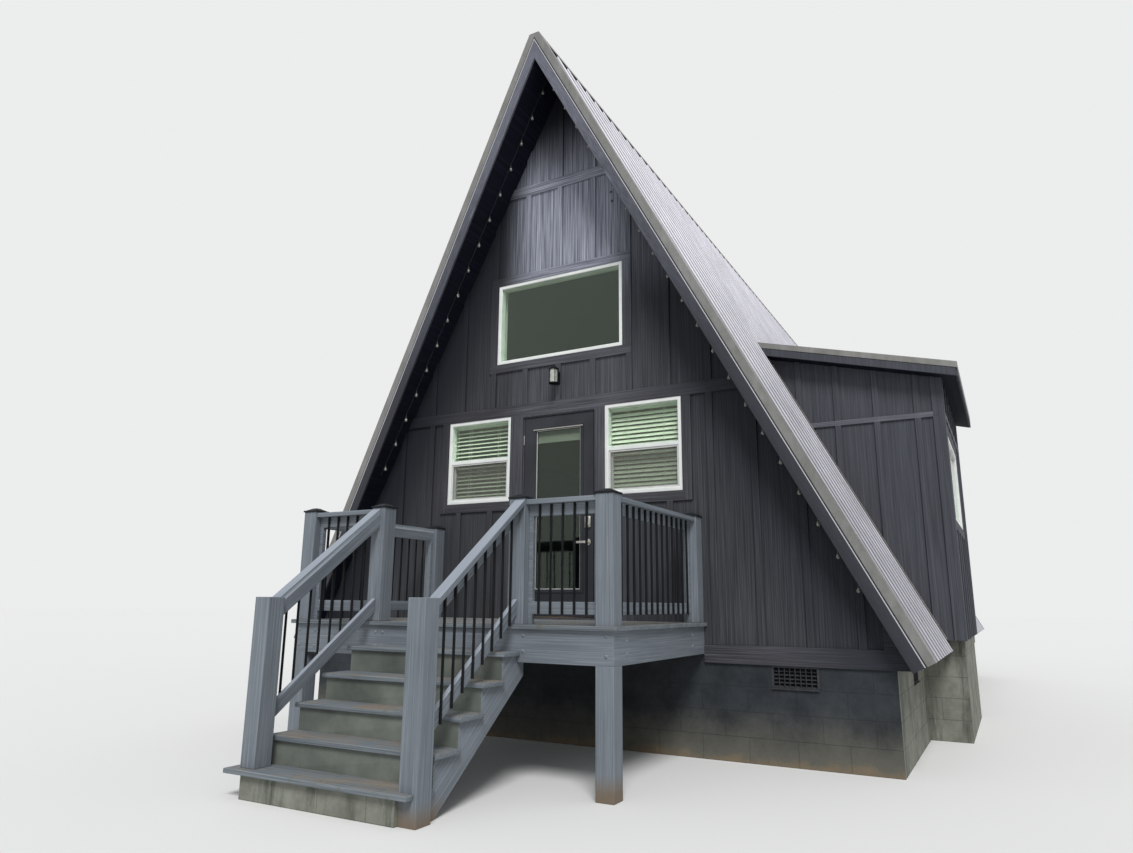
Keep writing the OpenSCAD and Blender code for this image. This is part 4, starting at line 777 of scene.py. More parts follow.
def finished(name, shape, material, body="house", ease=0.0012):
    """A piece from a bmesh, with its edges rounded."""
    bmesh.ops.recalc_face_normals(shape, faces=shape.faces)
    sharp = [e for e in shape.edges if e.calc_face_angle(0) > math.radians(25)]
    bmesh.ops.bevel(shape, geom=sharp, offset=ease, segments=2, affect="EDGES",
                    profile=0.5, clamp_overlap=True)
    mesh = bpy.data.meshes.new(name)
    shape.to_mesh(mesh)
    shape.free()
    mesh.shade_smooth()
    mesh.set_sharp_from_angle(angle=math.radians(20))
    mesh.materials.append(material)
    return piece_of(name, mesh, body)


# %% [markdown]
# ## Eased edges
# No board leaves the mill with a knife edge, and folded metal has a small radius. A copy of
# each of these solids is merged, its flat faces are joined, and its sharp edges are rounded by
# a few millimetres, so that they catch light as the real ones do. The copy then stands for the
# solid.

# %% Round the edges of a solid's copy
def eased(name, width_mm, segments=2, sharp_deg=25):
    """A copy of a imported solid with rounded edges, which stands for it."""
    source = nodes[name]
    mesh = source.data.copy()
    shape = bmesh.new()
    shape.from_mesh(mesh)
    bmesh.ops.remove_doubles(shape, verts=shape.verts, dist=0.00002)
    bmesh.ops.dissolve_limit(shape, angle_limit=math.radians(0.5), verts=shape.verts,
                             edges=shape.edges)
    tight = {v for e in shape.edges for v in e.verts
             if e.calc_length() < 3 * width_mm * mm or len(e.link_faces) != 2}
    sharp = [e for e in shape.edges
             if e.calc_face_angle(0) > math.radians(sharp_deg) and not tight.intersection(e.verts)]
    bmesh.ops.bevel(shape, geom=sharp, offset=width_mm * mm, segments=segments,
                    affect="EDGES", profile=0.5, clamp_overlap=False)
    shape.to_mesh(mesh)
    shape.free()
    if segments == 1 and sharp_deg < 40:
        # Sheet metal: one flat chamfer, so that its long flats stay flat in the light
        mesh.shade_flat()
    else:
        # On boards only the small faces of the bevel blend, and on turned metal all but corners
        mesh.shade_smooth()
        mesh.set_sharp_from_angle(angle=math.radians(20 if sharp_deg < 40 else 38))
    piece = piece_of(name + "_eased", mesh, source["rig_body"])
    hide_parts(name)
    return piece


for name in ("deck_posts", "stair_posts", "rail_front_left", "rail_front_right",
             "rail_side_left", "rail_side_right", "rail_stair_left", "rail_stair_right",
             "deck_frame"):
    eased(name, 4)
eased("stair_frame", 3)
eased("stair_treads", 6, 3)
eased("post_caps", 2.5)
for name in ("rake_boards", "gable_trim", "gable_battens"):
    eased(name, 2.5)
dormer_boards = eased("dormer_trim", 2.5)
eased("window_linings", 2)
eased("screen_frames", 1.5)
eased("ridge_cap", 1.2)
eased("door_frame", 2)
for name in ("roof_metal_left", "roof_metal_right", "dormer_metal"):
    eased(name, 1.4, 1)
eased("door_leaf", 2)
eased("door_handle", 0.5, 1, 40)
eased("door_hinges", 0.5, 1, 50)
eased("hinge_leaves", 0.5, 1, 50)
eased("balusters", 0.5, 1, 50)
eased("lantern", 1, 1, 50)
print("eased pieces made")

# %% [markdown]
# The dormer's trim is one solid, but two trades made it. Above the rake boards lies a metal
# band, and the faces of that band get the roof's edge coat instead of stain. The board across
# the walls stands out more than the battens and is paler. Boards that lie in one plane
# were joined above, so the mesh is cut first wherever one finish ends and the next begins.

# %% Cuts between the dormer's finishes
dormer_eave_x, dormer_eave_z = 3.665, 3.736
dormer_angle = math.radians(14.4)
band_height = 0.040
belt_low, belt_high = 3.235, 3.290
corner_board = 0.095
corner_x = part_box("dormer_walls")[1].x - corner_board
near_corner, far_corner = dormer_from + corner_board, dormer_to - corner_board
roof_up = Vector((math.sin(dormer_angle), 0, math.cos(dormer_angle)))
band_foot = Vector((dormer_eave_x, 0, dormer_eave_z)) - roof_up * (band_height + 0.0015)
planes = (((0, 0, belt_low), up), ((0, 0, belt_high), up), (band_foot, roof_up),
          ((corner_x, 0, 0), rightwards), ((0, near_corner, 0), ahead),
          ((0, far_corner, 0), ahead))
cut = bmesh.new()
cut.from_mesh(dormer_boards.data)
for place, direction in planes:
    bmesh.ops.bisect_plane(cut, geom=cut.verts[:] + cut.edges[:] + cut.faces[:], dist=1e-5,
                           plane_co=place, plane_no=direction)
cut.to_mesh(dormer_boards.data)
cut.free()
print("faces of the dormer's trim after the cuts:", len(dormer_boards.data.polygons))

# %% [markdown]
# Now each face can be told by its middle. Faces outside the walls and near the roof's own plane
# are the metal band, and faces between the belt's two heights are the belt, apart from the
# corner boards, which run past it.

# %% Finishes of the dormer's trim
dormer_boards.data.materials.append(edge_metal)
dormer_boards.data.materials.append(dormer_belt)
metal_faces = 0
for face in dormer_boards.data.polygons:
    x, y, z = face.center
    roof_z = dormer_eave_z + (dormer_eave_x - x) * math.tan(dormer_angle)
    above = (z - roof_z) * math.cos(dormer_angle)
    outside = not dormer_from - 0.05 < y < dormer_to + 0.05 or x > dormer_eave_x - 0.001
    if outside and above > -band_height - 0.003:
        face.material_index = 1
        metal_faces += 1
    elif belt_low < z < belt_high and (x < corner_x or near_corner < y < far_corner):
        face.material_index = 2
print("faces of the metal band:", metal_faces)

# %% [markdown]
# ## Recipes for what repeats
# Screws, bolts, bulbs, ribs and slats are made by geometry nodes. Each recipe is a small tree
# with named inputs. It gets a mesh of points or lines, sets one shape on each, makes them real
# geometry and gives them their material. The result is kept as a plain mesh.

# %% Run a recipe
def new_recipe(name, knobs):
    """A geometry tree with the named inputs, and its input node."""
    tree = bpy.data.node_groups.new(name, "GeometryNodeTree")
    tree.is_modifier = True
    tree.interface.new_socket("Geometry", in_out="INPUT", socket_type="NodeSocketGeometry")
    for knob, kind in knobs.items():
        tree.interface.new_socket(knob, in_out="INPUT", socket_type="NodeSocket" + kind)
    tree.interface.new_socket("Geometry", in_out="OUTPUT", socket_type="NodeSocketGeometry")
    return tree, add(tree, "NodeGroupInput").outputs


def close_recipe(tree, geometry, material):
    """Ends a recipe with real geometry in one material."""
    real = add(tree, "GeometryNodeRealizeInstances", {"Geometry": geometry})
    painted = add(tree, "GeometryNodeSetMaterial", {"Geometry": real, "Material": material})
    add(tree, "NodeGroupOutput", {"Geometry": painted})


def grown(name, mesh, tree, values, body="house"):
    """The plain mesh that a recipe makes from the given one."""
    piece = bpy.data.objects.new(name, mesh)
    bpy.context.scene.collection.objects.link(piece)
    recipe = piece.modifiers.new("recipe", "NODES")
    recipe.node_group = tree
    for item in tree.interface.items_tree:
        if item.in_out == "INPUT" and item.name in values:
            recipe[item.identifier] = values[item.name]
    seen = bpy.context.evaluated_depsgraph_get()
    made = bpy.data.meshes.new_from_object(piece.evaluated_get(seen))
    piece.modifiers.clear()
    piece.data = made
    made.shade_smooth()
    made.set_sharp_from_angle(angle=math.radians(40))
    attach(piece, body)
    return piece


def point_mesh(name, places):
    """Points with a direction each, from pairs of a place and what it faces."""
    mesh = bpy.data.meshes.new(name)
    mesh.from_pydata([p for p, _ in places], [], [])
    facing = mesh.attributes.new("facing", "FLOAT_VECTOR", "POINT")
    for index, (_, direction) in enumerate(places):
        facing.data[index].vector = direction
    return mesh


def line_mesh(name, paths):
    """Open lines through the given rows of points."""
    mesh = bpy.data.meshes.new(name)
    points, edges = [], []
    for path in paths:
        edges += [(len(points) + i, len(points) + i + 1) for i in range(len(path) - 1)]
        points += path
    mesh.from_pydata(points, edges, [])
    return mesh


print("helpers for recipes ready")

# %% [markdown]
# A turned shape is a short line with a ring swept along it. A curve drawn from side to side
# gives the ring's radius at each step, so that one recipe makes a domed bolt, a screw with its
# washer or a pear-shaped bulb. Each shape stands along the direction of its point and is spun by
# a chance angle, as screws are when they are driven.

# %% Turned shapes
def turned_recipe(name, outline):
    """A recipe that sets a turned shape on each point. outline gives radius against height."""
    tree, knobs = new_recipe(name, {
        "Length": "Float", "Radius": "Float", "Sides": "Int", "Steps": "Int", "Seed": "Int",
        "Material": "Material",
    })
    tip = add(tree, "ShaderNodeCombineXYZ", {"Z": knobs["Length"]})
    line = add(tree, "GeometryNodeCurvePrimitiveLine", {"End": tip})
    steps = add(tree, "GeometryNodeResampleCurve", {"Curve": line, "Count": knobs["Steps"]})
    along = add(tree, "GeometryNodeSplineParameter")
    profile = add(tree, "ShaderNodeFloatCurve", {"Value": along.outputs["Factor"]})
    drawn = profile.mapping.curves[0]
    for index, (height, radius) in enumerate(outline):
        if index < 2:
            drawn.points[index].location = (height, radius)
        else:
            drawn.points.new(height, radius)
    for corner in drawn.points:
        corner.handle_type = "VECTOR"
    profile.mapping.update()
    radius = add(tree, "ShaderNodeMath", {0: profile, 1: knobs["Radius"]},
                 operation="MULTIPLY")
    ring = add(tree, "GeometryNodeCurvePrimitiveCircle", {
        "Resolution": knobs["Sides"], "Radius": 1.0,
    })
    shape = add(tree, "GeometryNodeCurveToMesh", {
        "Curve": steps, "Profile Curve": ring, "Scale": radius, "Fill Caps": True,
    })
    facing = add(tree, "GeometryNodeInputNamedAttribute", {"Name": "facing"},
                 data_type="FLOAT_VECTOR")
    turn = add(tree, "FunctionNodeAlignRotationToVector", {
        "Vector": facing.outputs["Attribute"],
    }, axis="Z")
    # For a plain number, inputs 2 and 3 of this node are the least and the most
    least, most = 2, 3
    chance = add(tree, "FunctionNodeRandomValue", {
        least: 0.0, most: math.tau, "Seed": knobs["Seed"],
    }, data_type="FLOAT")
    spin = add(tree, "FunctionNodeAxisAngleToRotation", {
        "Axis": (0, 0, 1), "Angle": chance.outputs[1],
    })
    turned = add(tree, "FunctionNodeRotateRotation", {"Rotation": turn, "Rotate By": spin},
                 rotation_space="LOCAL")
    placed = add(tree, "GeometryNodeInstanceOnPoints", {
        "Points": knobs["Geometry"], "Instance": shape, "Rotation": turned,
    })
    close_recipe(tree, placed, knobs["Material"])
    return tree


screw_recipe = turned_recipe("washer_and_hex_head", [
    (0.0, 1.0), (1.0, 0.42), (0.22, 1.0), (0.36, 0.62), (0.9, 0.56),
])
dome_recipe = turned_recipe("domed_head", [
    (0.0, 1.0), (1.0, 0.12), (0.3, 0.94), (0.6, 0.78), (0.85, 0.48),
])
socket_recipe = turned_recipe("lamp_socket", [
    (0.0, 0.42), (1.0, 0.9), (0.12, 0.82), (0.22, 1.0), (0.8, 1.0), (0.86, 0.9),
])
bulb_recipe = turned_recipe("pear_bulb", [
    (0.0, 0.56), (1.0, 0.1), (0.14, 0.62), (0.32, 0.88), (0.52, 1.0), (0.72, 0.94),
    (0.88, 0.64), (0.96, 0.36),
])
print("turned recipes made")

# %% [markdown]
# A run is a bar swept along lines. The roof's small ribs and the cord are both runs, with a
# profile that may be flatter than it is wide.

# %% Runs along lines
def run_recipe():
    """A recipe that sweeps an oval bar along every line of the mesh."""
    tree, knobs = new_recipe("run_along_lines", {
        "Width": "Float", "Height": "Float", "Sides": "Int", "Material": "Material",
    })
    lines = add(tree, "GeometryNodeMeshToCurve", {"Mesh": knobs["Geometry"]})
    level = add(tree, "GeometryNodeSetCurveNormal", {"Curve": lines}, mode="Z_UP")
    ring = add(tree, "GeometryNodeCurvePrimitiveCircle", {
        "Resolution": knobs["Sides"], "Radius": 0.5,
    })
    size = add(tree, "ShaderNodeCombineXYZ", {"X": knobs["Width"], "Y": knobs["Height"]})
    oval = add(tree, "GeometryNodeTransform", {"Geometry": ring, "Scale": size})
    bars = add(tree, "GeometryNodeCurveToMesh", {
        "Curve": level, "Profile Curve": oval, "Fill Caps": True,
    })
    close_recipe(tree, bars, knobs["Material"])
    return tree


along_lines = run_recipe()
print("recipe for runs made")

# %% [markdown]
# ## Small ribs of the roof
# Between two tall ribs the roofing sheet has two low ones, which stiffen the flat. They show in
# the photograph as fine lines. Each line ends at the rakes, and on the right slope those behind
# the dormer end above it.

# %% Low ribs
def slope_reach(y, margin):
    """How far down the slope a line at y may start and end, as s, or None."""
    mirrored = min(y, house_front + house_rear - y)
    top_s = 0.19
    end_s = slope_length - 0.002
    if mirrored < rake_at_foot + margin:
        lowest = roof_foot + (rake_at_foot + margin - mirrored) / rake_lean
        end_s = min(end_s, (apex - lowest) / math.cos(roof_angle))
    return (top_s, end_s) if end_s > top_s + 0.1 else None


low_ribs = []
for side in (-1, 1):
    for gap in range(rib_count - 1):
        for third in (1, 2):
            y = first_rib + (gap + third / 3) * rib_pitch
            reach = slope_reach(y, 0.004)
            if not reach:
                continue
            end_s = reach[1]
            if side == 1 and dormer_from - 0.005 < y < dormer_to + 0.005:
                end_s = (apex - dormer_head) / math.cos(roof_angle)
            low_ribs.append([on_slope(reach[0], sheet_thickness, y, side),
                             on_slope(end_s, sheet_thickness, y, side)])
low_rib_piece = grown("low_roof_ribs", line_mesh("low_rib_lines", low_ribs), along_lines, {
    "Width": 0.016, "Height": 0.0055, "Sides": 8, "Material": low_rib_shade_coat,
})
print("low ribs:", len(low_ribs), "faces", len(low_rib_piece.data.polygons))

# %% [markdown]
# ## Roof screws
# Long screws with a rubber washer hold the sheets to the boards. A roofer sets them in the flat
# beside each tall rib, in level rows, and one over each rib through the ridge cap's flange.

# %% Screws
screws = []
row_pitch = 0.61
beside_rib = 0.036
first_row = 0.32
crest_s = 0.14
for side in (-1, 1):
    outward = slope_normal(side)
    for rib in range(rib_count):
        y = first_rib + rib * rib_pitch + beside_rib
        reach = slope_reach(y, 0.10)
        if not reach:
            continue
        behind_dormer = side == 1 and dormer_from - 0.12 < y < dormer_to + 0.12
        s = first_row
        while s < reach[1] - 0.05:
            place = on_slope(s, sheet_thickness - 0.0005, y, side)
            if not (behind_dormer and place.z < dormer_head + 0.1):
                screws.append((place, outward))
            s += row_pitch
        crest = on_slope(crest_s, rib_height + 0.003, y - beside_rib, side)
        screws.append((crest, outward))
screw_piece = grown("roof_screws", point_mesh("screw_points", screws), screw_recipe, {
    "Length": 0.007, "Radius": 0.0085, "Sides": 6, "Steps": 5, "Seed": 11,
    "Material": screw_metal,
})
print("roof screws:", len(screws), "faces", len(screw_piece.data.polygons))

# %% [markdown]
# ## Deck boards
# The deck has thirteen boards, which run across it. They are sawn round the two corner posts,
# and their edges are rounded at the mill. Each is its own shape with its own shade, and a gap of
# a few millimetres lets the rain through.

# %% Deck boards
board_count = 13
post_outer, post_inner = 1.530, 1.390
post_front_y, post_back_y = -1.925, -1.785


def deck_planks(gap=0.005, notch_gap=0.002):
    """The boards, each with a chance end and a chance shade, cut round the corner posts."""
    chance = random.Random(7)
    shape = bmesh.new()
    shade = shape.verts.layers.float.new("board")
    pitch = (deck_high.y - deck_low.y) / board_count
    post_out, post_in = post_outer + notch_gap, post_inner - notch_gap
    post_front, post_back = post_front_y - notch_gap, post_back_y + notch_gap
    for number in range(board_count):
        near = deck_low.y + number * pitch + (gap / 2 if number else 0)
        back = deck_low.y + (number + 1) * pitch - (gap / 2 if number < board_count - 1 else 0)
        ends = deck_high.x - chance.uniform(0, 0.003)
        outline = [(-ends, near), (ends, near), (ends, back), (-ends, back)]
        if near < post_front < back:
            outline = [(-ends, near), (ends, near), (ends, back), (post_out, back),
                       (post_out, post_front), (post_in, post_front), (post_in, back),
                       (-post_in, back), (-post_in, post_front), (-post_out, post_front),
                       (-post_out, back), (-ends, back)]
        elif near < post_back < back:
            outline = [(-ends, near), (-post_out, near), (-post_out, post_back),
                       (-post_in, post_back), (-post_in, near), (post_in, near),
                       (post_in, post_back), (post_out, post_back), (post_out, near),
                       (ends, near), (ends, back), (-ends, back)]
        bottom = [shape.verts.new((x, y, deck_low.z)) for x, y in outline]
        face = shape.faces.new(bottom)
        lifted = bmesh.ops.extrude_face_region(shape, geom=[face])
        top = [v for v in lifted["geom"] if isinstance(v, bmesh.types.BMVert)]
        bmesh.ops.translate(shape, verts=top, vec=(0, 0, deck_high.z - deck_low.z))
        tone = chance.random()
        for vertex in bottom + top:
            vertex[shade] = tone
    return finished("deck_planks", shape, worn_board, ease=0.004)


planks = deck_planks()
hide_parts("deck_boards")
print("deck planks made:", len(planks.data.polygons), "faces")

# %% [markdown]
# ## Bolts and deck screws
# Carriage bolts with domed heads hold the corner posts and the stair's posts to the rim of the
# deck. Their places come from the photograph.

# %% Bolts
rim_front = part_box("deck_frame")[0].y
rim_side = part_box("deck_frame")[1].x
bolts = []
for x, low_z, high_z in ((1.474, 0.931, 1.068), (0.801, 0.945, 1.056), (-1.474, 0.925, 1.05),
                         (-1.291, 0.918, 1.049), (-0.614, 0.94, 1.049), (-0.54, 0.94, 1.048)):
    bolts += [(Vector((x, rim_front, z)), ahead) for z in (low_z, high_z)]
for y in (-1.705, -0.372):
    for z in (0.942, 1.03):
        bolts.append((Vector((rim_side, y, z)), rightwards))
        bolts.append((Vector((-rim_side, y, z)), -rightwards))
grown("carriage_bolts", point_mesh("bolt_points", bolts), dome_recipe, {
    "Length": 0.007, "Radius": 0.013, "Sides": 16, "Steps": 7, "Seed": 3,
    "Material": grey_upright,
})
print("bolts:", len(bolts))

# %% [markdown]
# The boards are held by two small screws over each joist, and each tread by two over each
# stringer. A screw is left out where a corner post passes through the boards and where the
# stair's right post goes down through the first tread, and each head is sunk a little.

# %% Deck screws
screw_sunk = 0.0006
joist_span, joist_gaps = 3.022, 8
joist_xs = [-joist_span / 2 + i * joist_span / joist_gaps for i in range(joist_gaps + 1)]
stringer_xs = (-0.66, 0.034, 0.728)
tread_count = 5
board_pitch = (deck_high.y - deck_low.y) / board_count
deck_screws = []
for number in range(board_count):
    for x in joist_xs:
        for part in (0.22, 0.78):
            y = deck_low.y + (number + part) * board_pitch
            if abs(x) > post_inner - 0.01 and y < post_back_y + 0.035:
                continue
            deck_screws.append((Vector((x, y, deck_high.z - screw_sunk)), up))
for step in range(1, tread_count + 1):
    nosing = first_nosing + (step - 1) * stair_going
    for x in stringer_xs:
        for back in (0.06, 0.2):
            if step == 1 and x == stringer_xs[2]:
                continue
            z = step * stair_rise - screw_sunk
            deck_screws.append((Vector((x, nosing + back, z)), up))
screw_heads = grown("deck_screws", point_mesh("deck_screw_points", deck_screws), dome_recipe, {
    "Length": 0.0016, "Radius": 0.0045, "Sides": 8, "Steps": 3, "Seed": 5,
    "Material": powder_coat,
})
print("deck screws:", len(deck_screws), "faces", len(screw_heads.data.polygons))

# %% [markdown]
# ## String of bulbs
# A cord runs under each soffit, halfway between the wall and the rake. It hangs from a hook at
# each socket and sags a little in between. The sockets hang on short leads, 305 mm apart:
# twenty-one on the right and sixteen on the left.

# %% Route of the cord
cord_t = -0.1687
cord_top = -cord_t / math.tan(roof_angle)
bulb_pitch = 0.305
cord_sag = 0.012
lead = 0.020
socket_length = 0.028
cord_paths, socket_points, bulb_points, cord_length = [], [], [], 0.0


def cord_point(s, side):
    """The place of the cord at s down the slope, halfway between wall and rake."""
    height = on_slope(s, cord_t, 0).z
    return on_slope(s, cord_t, (rake(height) + house_front) / 2, side)


for side, bulbs in ((1, 21), (-1, 16)):
    stops = [cord_top] + [cord_top + (i + 0.5) * bulb_pitch for i in range(bulbs)]
    stops.append(cord_top + bulbs * bulb_pitch)
    path = [cord_point(stops[0], side)]
    for near, far in zip(stops, stops[1:]):
        sag = cord_sag * (far - near) / bulb_pitch
        for part in (0.25, 0.5, 0.75, 1.0):
            point = cord_point(near + (far - near) * part, side)
            point.z -= 4 * sag * part * (1 - part)
            path.append(point)
    cord_length += sum((b - a).length for a, b in zip(path, path[1:]))
    cord_paths.append(path)
    for s in stops[1:-1]:
        hook = cord_point(s, side)
        cord_paths.append([hook, hook - up * (lead + 0.002)])
        socket_points.append((hook - up * lead, -up))
        bulb_points.append((hook - up * (lead + socket_length - 0.001), -up))
print("cord length", round(cord_length, 3), "m, bulbs", len(bulb_points))

# %% [markdown]
# The cord is a run of round wire. A socket hangs mouth down on each lead, and the glass of its
# bulb starts a millimetre inside the mouth.

# %% Cord, sockets and bulbs
cord_piece = grown("bulb_cord", line_mesh("cord_lines", cord_paths), along_lines, {
    "Width": 0.006, "Height": 0.006, "Sides": 8, "Material": black_plastic,
})
grown("bulb_sockets", point_mesh("socket_points", socket_points), socket_recipe, {
    "Length": socket_length, "Radius": 0.011, "Sides": 12, "Steps": 9, "Seed": 1,
    "Material": black_plastic,
})
bulb_piece = grown("glass_bulbs", point_mesh("bulb_points", bulb_points), bulb_recipe, {
    "Length": 0.042, "Radius": 0.017, "Sides": 16, "Steps": 12, "Seed": 1,
    "Material": bulb_glass,
})
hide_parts("light_string")
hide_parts("light_bulbs")
print("faces of a bulb:", len(bulb_piece.data.polygons) // len(bulb_points))

# %% [markdown]
# ## Blinds
# A slatted blind hangs inside each lower window. Its slats are crowned, a little higher in the
# middle than at the edges, and turned about their length. The recipe makes one slat, crowns it,
# turns it and repeats it down a line. The left blind is turned by 32 degrees and the right by 56.

# %% Slats
def slat_recipe():
    """A recipe that sets one crowned, tilted slat on each point."""
    tree, knobs = new_recipe("crowned_slats", {
        "Width": "Float", "Depth": "Float", "Thickness": "Float", "Crown": "Float",
        "Tilt": "Float", "Material": "Material",
    })
    size = add(tree, "ShaderNodeCombineXYZ", {
        "X": knobs["Width"], "Y": knobs["Depth"], "Z": knobs["Thickness"],
    })
    blank = add(tree, "GeometryNodeMeshCube", {
        "Size": size, "Vertices X": 2, "Vertices Y": 7, "Vertices Z": 2,
    })
    place = add(tree, "ShaderNodeSeparateXYZ", {
        "Vector": add(tree, "GeometryNodeInputPosition"),
    })
    # The lift is 1 in the middle of the slat and 0 at its edges, along a parabola
    ratio = add(tree, "ShaderNodeMath", {0: place.outputs["Y"], 1: knobs["Depth"]},
                operation="DIVIDE")
    square = add(tree, "ShaderNodeMath", {0: ratio, 1: ratio}, operation="MULTIPLY")
    drop = add(tree, "ShaderNodeMath", {0: square, 1: -4.0}, operation="MULTIPLY")
    lift = add(tree, "ShaderNodeMath", {0: drop, 1: 1.0}, operation="ADD")
    crown = add(tree, "ShaderNodeMath", {0: lift, 1: knobs["Crown"]}, operation="MULTIPLY")
    offset = add(tree, "ShaderNodeCombineXYZ", {"Z": crown})
    bent = add(tree, "GeometryNodeSetPosition", {"Geometry": blank, "Offset": offset})
    angle = add(tree, "ShaderNodeCombineXYZ", {"X": knobs["Tilt"]})
    turn = add(tree, "FunctionNodeEulerToRotation", {"Euler": angle})
    placed = add(tree, "GeometryNodeInstanceOnPoints", {
        "Points": knobs["Geometry"], "Instance": bent, "Rotation": turn,
    })
    close_recipe(tree, placed, knobs["Material"])
    return tree


slats_recipe = slat_recipe()
low_window_x = 0.961
blind_width = 0.762
blind_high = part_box("window_blinds")[1].z
blind_y = (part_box("window_blinds")[0].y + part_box("window_blinds")[1].y) / 2
slat_pitch = 0.044
slat_depth = 0.042
slat_count = 18
rail_height = 0.040
for label, centre_x, tilt_deg in (("left", -low_window_x, 32), ("right", low_window_x, 56)):
    rows = []
    for number in range(1, slat_count + 1):
        z = blind_high - rail_height - number * slat_pitch
        rows.append((Vector((centre_x, blind_y, z)), up))
    slats = grown("blind_slats_" + label, point_mesh("slat_points_" + label, rows),
                  slats_recipe, {
                      "Width": blind_width - 0.012, "Depth": slat_depth, "Thickness": 0.0028,
                      "Crown": 0.003, "Tilt": math.radians(tilt_deg), "Material": slat_paint,
                  })
    if label == "left":
        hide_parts("window_blinds")
print("blinds made:", 2 * slat_count, "slats")

# %% [markdown]
# The rest of a blind is a folded head rail, a bottom rail and two pairs of ladder cords. All are
# long shapes with one outline from end to end, so one small function draws the outline and
# stretches it sideways.

# %% Rails and tapes
def add_bar(shape, outline, x0, x1):
    """Stretches an outline in Y and Z sideways from x0 to x1."""
    start = [shape.verts.new((x0, y, z)) for y, z in outline]
    lifted = bmesh.ops.extrude_face_region(shape, geom=[shape.faces.new(start)])
    ends = [v for v in lifted["geom"] if isinstance(v, bmesh.types.BMVert)]
    bmesh.ops.translate(shape, verts=ends, vec=(x1 - x0, 0, 0))


def bars_piece(name, bars, material, body="house", ease=0.0012):
    """One piece from bars, each given by its outline in Y and Z and its two ends in X."""
    shape = bmesh.new()
    for outline, x0, x1 in bars:
        add_bar(shape, outline, x0, x1)
    return finished(name, shape, material, body, ease)


def rectangle(y0, y1, z0, z1):
    """The corners of an upright rectangle, as Y and Z."""
    return [(y0, z0), (y1, z0), (y1, z1), (y0, z1)]


rail_half = 0.022
front, back = blind_y - rail_half, blind_y + rail_half
rail_z = blind_high - rail_height
head_outline = [(front, rail_z), (front + 0.012, rail_z), (front + 0.012, rail_z + 0.003),
                (back - 0.012, rail_z + 0.003), (back - 0.012, rail_z), (back, rail_z),
                (back, blind_high - 0.001), (front, blind_high - 0.001)]
last_slat = rail_z - slat_count * slat_pitch
foot_outline = rectangle(blind_y - 0.013, blind_y + 0.013, last_slat - 0.036, last_slat - 0.022)
rails, tapes = [], []
for centre_x in (-low_window_x, low_window_x):
    left, right = centre_x - blind_width / 2, centre_x + blind_width / 2
    rails.append((head_outline, left, right))
    rails.append((foot_outline, left + 0.006, right - 0.006))
    for tape_x in (centre_x - blind_width / 4, centre_x + blind_width / 4):
        for y in (blind_y - 0.0195, blind_y + 0.0185):
            strip = rectangle(y, y + 0.001, last_slat - 0.03, rail_z + 0.002)
            tapes.append((strip, tape_x - 0.002, tape_x + 0.002))
bars_piece("blind_rails", rails, slat_paint)
bars_piece("blind_tapes", tapes, tape_cloth, ease=0.0003)
print("rails and tapes made")

# %% [markdown]
# ## Window frames
# The photograph shows only the outer frame round the upper panes: they are set straight into
# it, close to its face, as in a single-hung window. The solids have a sash there. So the three
# front windows are made again: a welded frame with mitred corners, a meeting rail, and a sash
# in the lower half only, behind the insect screen.

# %% Outlines of frame and sash
def mitred_ring(shape, x0, x1, z0, z1, profile):
    """A closed profile, given as inset and Y, that goes round a rectangle's four corners."""
    loops = []
    for inset, y in profile:
        corners = ((x0 + inset, z0 + inset), (x1 - inset, z0 + inset),
                   (x1 - inset, z1 - inset), (x0 + inset, z1 - inset))
        loops.append([shape.verts.new((x, y, z)) for x, z in corners])
    for inner, outer in zip(loops, loops[1:] + loops[:1]):
        for k in range(4):
            shape.faces.new((inner[k], inner[k - 1], outer[k - 1], outer[k]))


frame_face, sash_face = 0.038, 0.030
pane_overlap = 0.003
frame_y, frame_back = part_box("lower_windows")[0].y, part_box("lower_windows")[1].y
frame_profile = [(0, frame_back), (0, frame_y + 0.002), (0.002, frame_y),
                 (frame_face - 0.006, frame_y), (frame_face, frame_y + 0.005),
                 (frame_face, frame_back)]
sash_front, sash_back = frame_y + 0.040, frame_y + 0.068
sash_profile = [(0, sash_front), (sash_face - 0.004, sash_front),
                (sash_face, sash_front + 0.004), (sash_face, sash_back), (0, sash_back)]
pane_front, pane_back = frame_y + 0.009, frame_y + 0.015
pane_inset = frame_face - pane_overlap
print("a frame is", round(frame_back - frame_y, 3), "m deep")

# %% [markdown]
# A low window is one ring for the frame, a bar across it for the meeting rail, and a smaller
# ring behind that for the sash. Each pane reaches 3 mm into what holds it, so that no gap shows.

# %% Low windows
low_window_half = 0.404
low_z, high_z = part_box("lower_windows")[0].z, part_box("lower_windows")[1].z
meeting_z = (low_z + high_z) / 2
sash_top = meeting_z + 0.015
sash_inset = frame_face + sash_face - pane_overlap
meeting_rail = rectangle(frame_y + 0.006, frame_y + 0.0395, meeting_z - 0.0145,
                         meeting_z + 0.022)
upper_pane = rectangle(pane_front, pane_back, meeting_z + 0.020, high_z - pane_inset)
sash_pane = rectangle(frame_y + 0.051, frame_y + 0.057, low_z + sash_inset,
                      sash_top - sash_face + pane_overlap)
vinyl, panes = bmesh.new(), []
for centre_x in (-low_window_x, low_window_x):
    left, right = centre_x - low_window_half, centre_x + low_window_half
    mitred_ring(vinyl, left, right, low_z, high_z, frame_profile)
    add_bar(vinyl, meeting_rail, left + frame_face, right - frame_face)
    mitred_ring(vinyl, left + frame_face, right - frame_face, low_z + frame_face, sash_top,
                sash_profile)
    panes.append((upper_pane, left + pane_inset, right - pane_inset))
    panes.append((sash_pane, left + sash_inset, right - sash_inset))
low_frames = finished("lower_window_frames", vinyl, white_vinyl, ease=0.0006)
